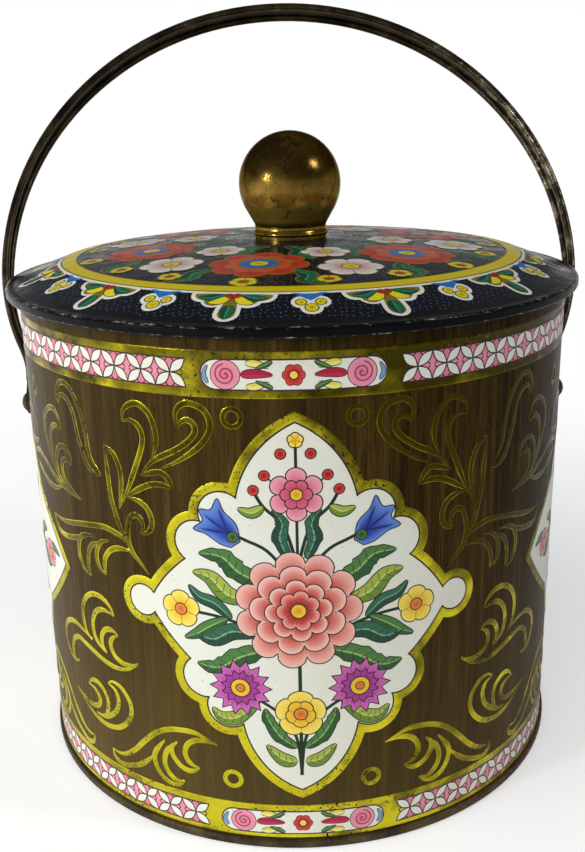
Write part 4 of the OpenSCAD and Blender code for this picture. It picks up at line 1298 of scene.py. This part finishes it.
def studio_floor():
    """A sheet of pale paper under the tin, which thins out to nothing away from it."""
    material, tree, skin = new_finish("studio_paper")
    feed(tree, skin, {"Base Color": (0.88, 0.88, 0.87, 1), "Roughness": 0.9})
    fade = step(tree, axis_distance(tree), 100, 420, 1, 0)
    clear = add(tree, "ShaderNodeBsdfTransparent").outputs[0]
    seen = add(tree, "ShaderNodeLightPath").outputs["Is Camera Ray"]
    glow = add(tree, "ShaderNodeEmission", {"Strength": maths(tree, "MULTIPLY", seen, 0.33)}).outputs[0]
    white = add(tree, "ShaderNodeAddShader", {0: skin.outputs[0], 1: glow}).outputs[0]
    paper = add(tree, "ShaderNodeMixShader", {0: fade, 1: clear, 2: white}).outputs[0]
    tree.links.new(paper, tree.nodes["Material Output"].inputs["Surface"])
    half = 0.5
    corners = [(-half, -half, 0), (half, -half, 0), (half, half, 0), (-half, half, 0)]
    mesh = bpy.data.meshes.new("studio_floor")
    mesh.from_pydata(corners, [], [(0, 1, 2, 3)])
    mesh.materials.append(material)
    floor = bpy.data.objects.new("studio_floor", mesh)
    bpy.context.scene.collection.objects.link(floor)


def soft_lamp(name, place, target, size, watts):
    """A round soft lamp that points at a target."""
    lamp = bpy.data.lights.new(name, "AREA")
    lamp.shape = "DISK"
    lamp.size = size
    lamp.energy = watts
    holder = bpy.data.objects.new(name, lamp)
    holder.location = place
    holder.rotation_euler = (Vector(target) - Vector(place)).to_track_quat("-Z", "Y").to_euler()
    bpy.context.scene.collection.objects.link(holder)
    return holder


def pale_world():
    """White to the camera; in reflections white at the left and behind the tin, dimmer elsewhere."""
    world = bpy.data.worlds.new("pale_room")
    world.use_nodes = True
    tree = world.node_tree
    room = tree.nodes["Background"]
    feed(tree, room, {"Color": (0.95, 0.97, 1, 1), "Strength": 0.295})
    rays = add(tree, "ShaderNodeLightPath").outputs
    way = add(tree, "ShaderNodeTexCoord").outputs["Generated"]
    window_way = (-0.8, 0.5, 0.35)
    bright_side = add(tree, "ShaderNodeVectorMath", {0: way, 1: window_way}, operation="DOT_PRODUCT")
    height = axes_of(tree, way)["Z"]
    shown = step(tree, bright_side.outputs["Value"], -0.5, 0.6, 0.4, 1)
    shown = maths(tree, "MULTIPLY", shown, step(tree, height, 0.08, 0.24, 1, 0.22))
    paper = add(tree, "ShaderNodeBackground", {
        "Color": (1, 1, 1, 1), "Strength": maths(tree, "MAXIMUM", rays["Is Camera Ray"], shown),
    })
    seen = maths(tree, "MAXIMUM", rays["Is Camera Ray"], rays["Is Glossy Ray"])
    seen = maths(tree, "MAXIMUM", seen, rays["Is Transmission Ray"])
    both = add(tree, "ShaderNodeMixShader", {0: seen, 1: room.outputs[0], 2: paper.outputs[0]})
    tree.links.new(both.outputs[0], tree.nodes["World Output"].inputs["Surface"])
    bpy.context.scene.world = world


def photo_camera():
    """The camera of the photograph, found from the wall's edges and the rims in its picture."""
    focal_px, long_side_px, sensor = 1004.37, 852, 36.0
    away, height = 0.2878, 0.18077
    pitch, yaw, roll = 0.31, -0.0024, -0.0218
    lens = bpy.data.cameras.new("camera")
    lens.sensor_width = sensor
    lens.lens = focal_px * sensor / long_side_px
    lens.clip_start = 0.01
    ahead = Vector((math.sin(yaw) * math.cos(pitch), math.cos(yaw) * math.cos(pitch), -math.sin(pitch)))
    level = Vector((math.cos(yaw), -math.sin(yaw), 0))
    upright = level.cross(ahead)
    right = math.cos(roll) * level + math.sin(roll) * upright
    up = math.cos(roll) * upright - math.sin(roll) * level
    turn = Matrix.Rotation(PRINT_TURN, 4, "Z")
    axes = Matrix((right, up, -ahead)).transposed().to_4x4()
    eye = bpy.data.objects.new("camera", lens)
    eye.matrix_world = turn @ Matrix.Translation((0, -away, height)) @ axes
    bpy.context.scene.collection.objects.link(eye)
    bpy.context.scene.camera = eye


studio_floor()
soft_lamp("left_window", (-0.90, -0.20, 0.36), (0, 0, 0.08), 0.8, 3.8).visible_glossy = False
soft_lamp("left_bulb", (-0.88, -0.61, 0.43), (0, 0, 0.1), 0.14, 2.7)
soft_lamp("front_left", (-0.62, -0.85, 0.62), (0, 0, 0.07), 1.7, 7.2).visible_glossy = False
soft_lamp("right_lamp", (0.58, -0.23, 0.62), (0, 0, 0.1), 0.12, 1.1)
pale_world()
photo_camera()
bpy.context.scene.view_settings.view_transform = "Standard"
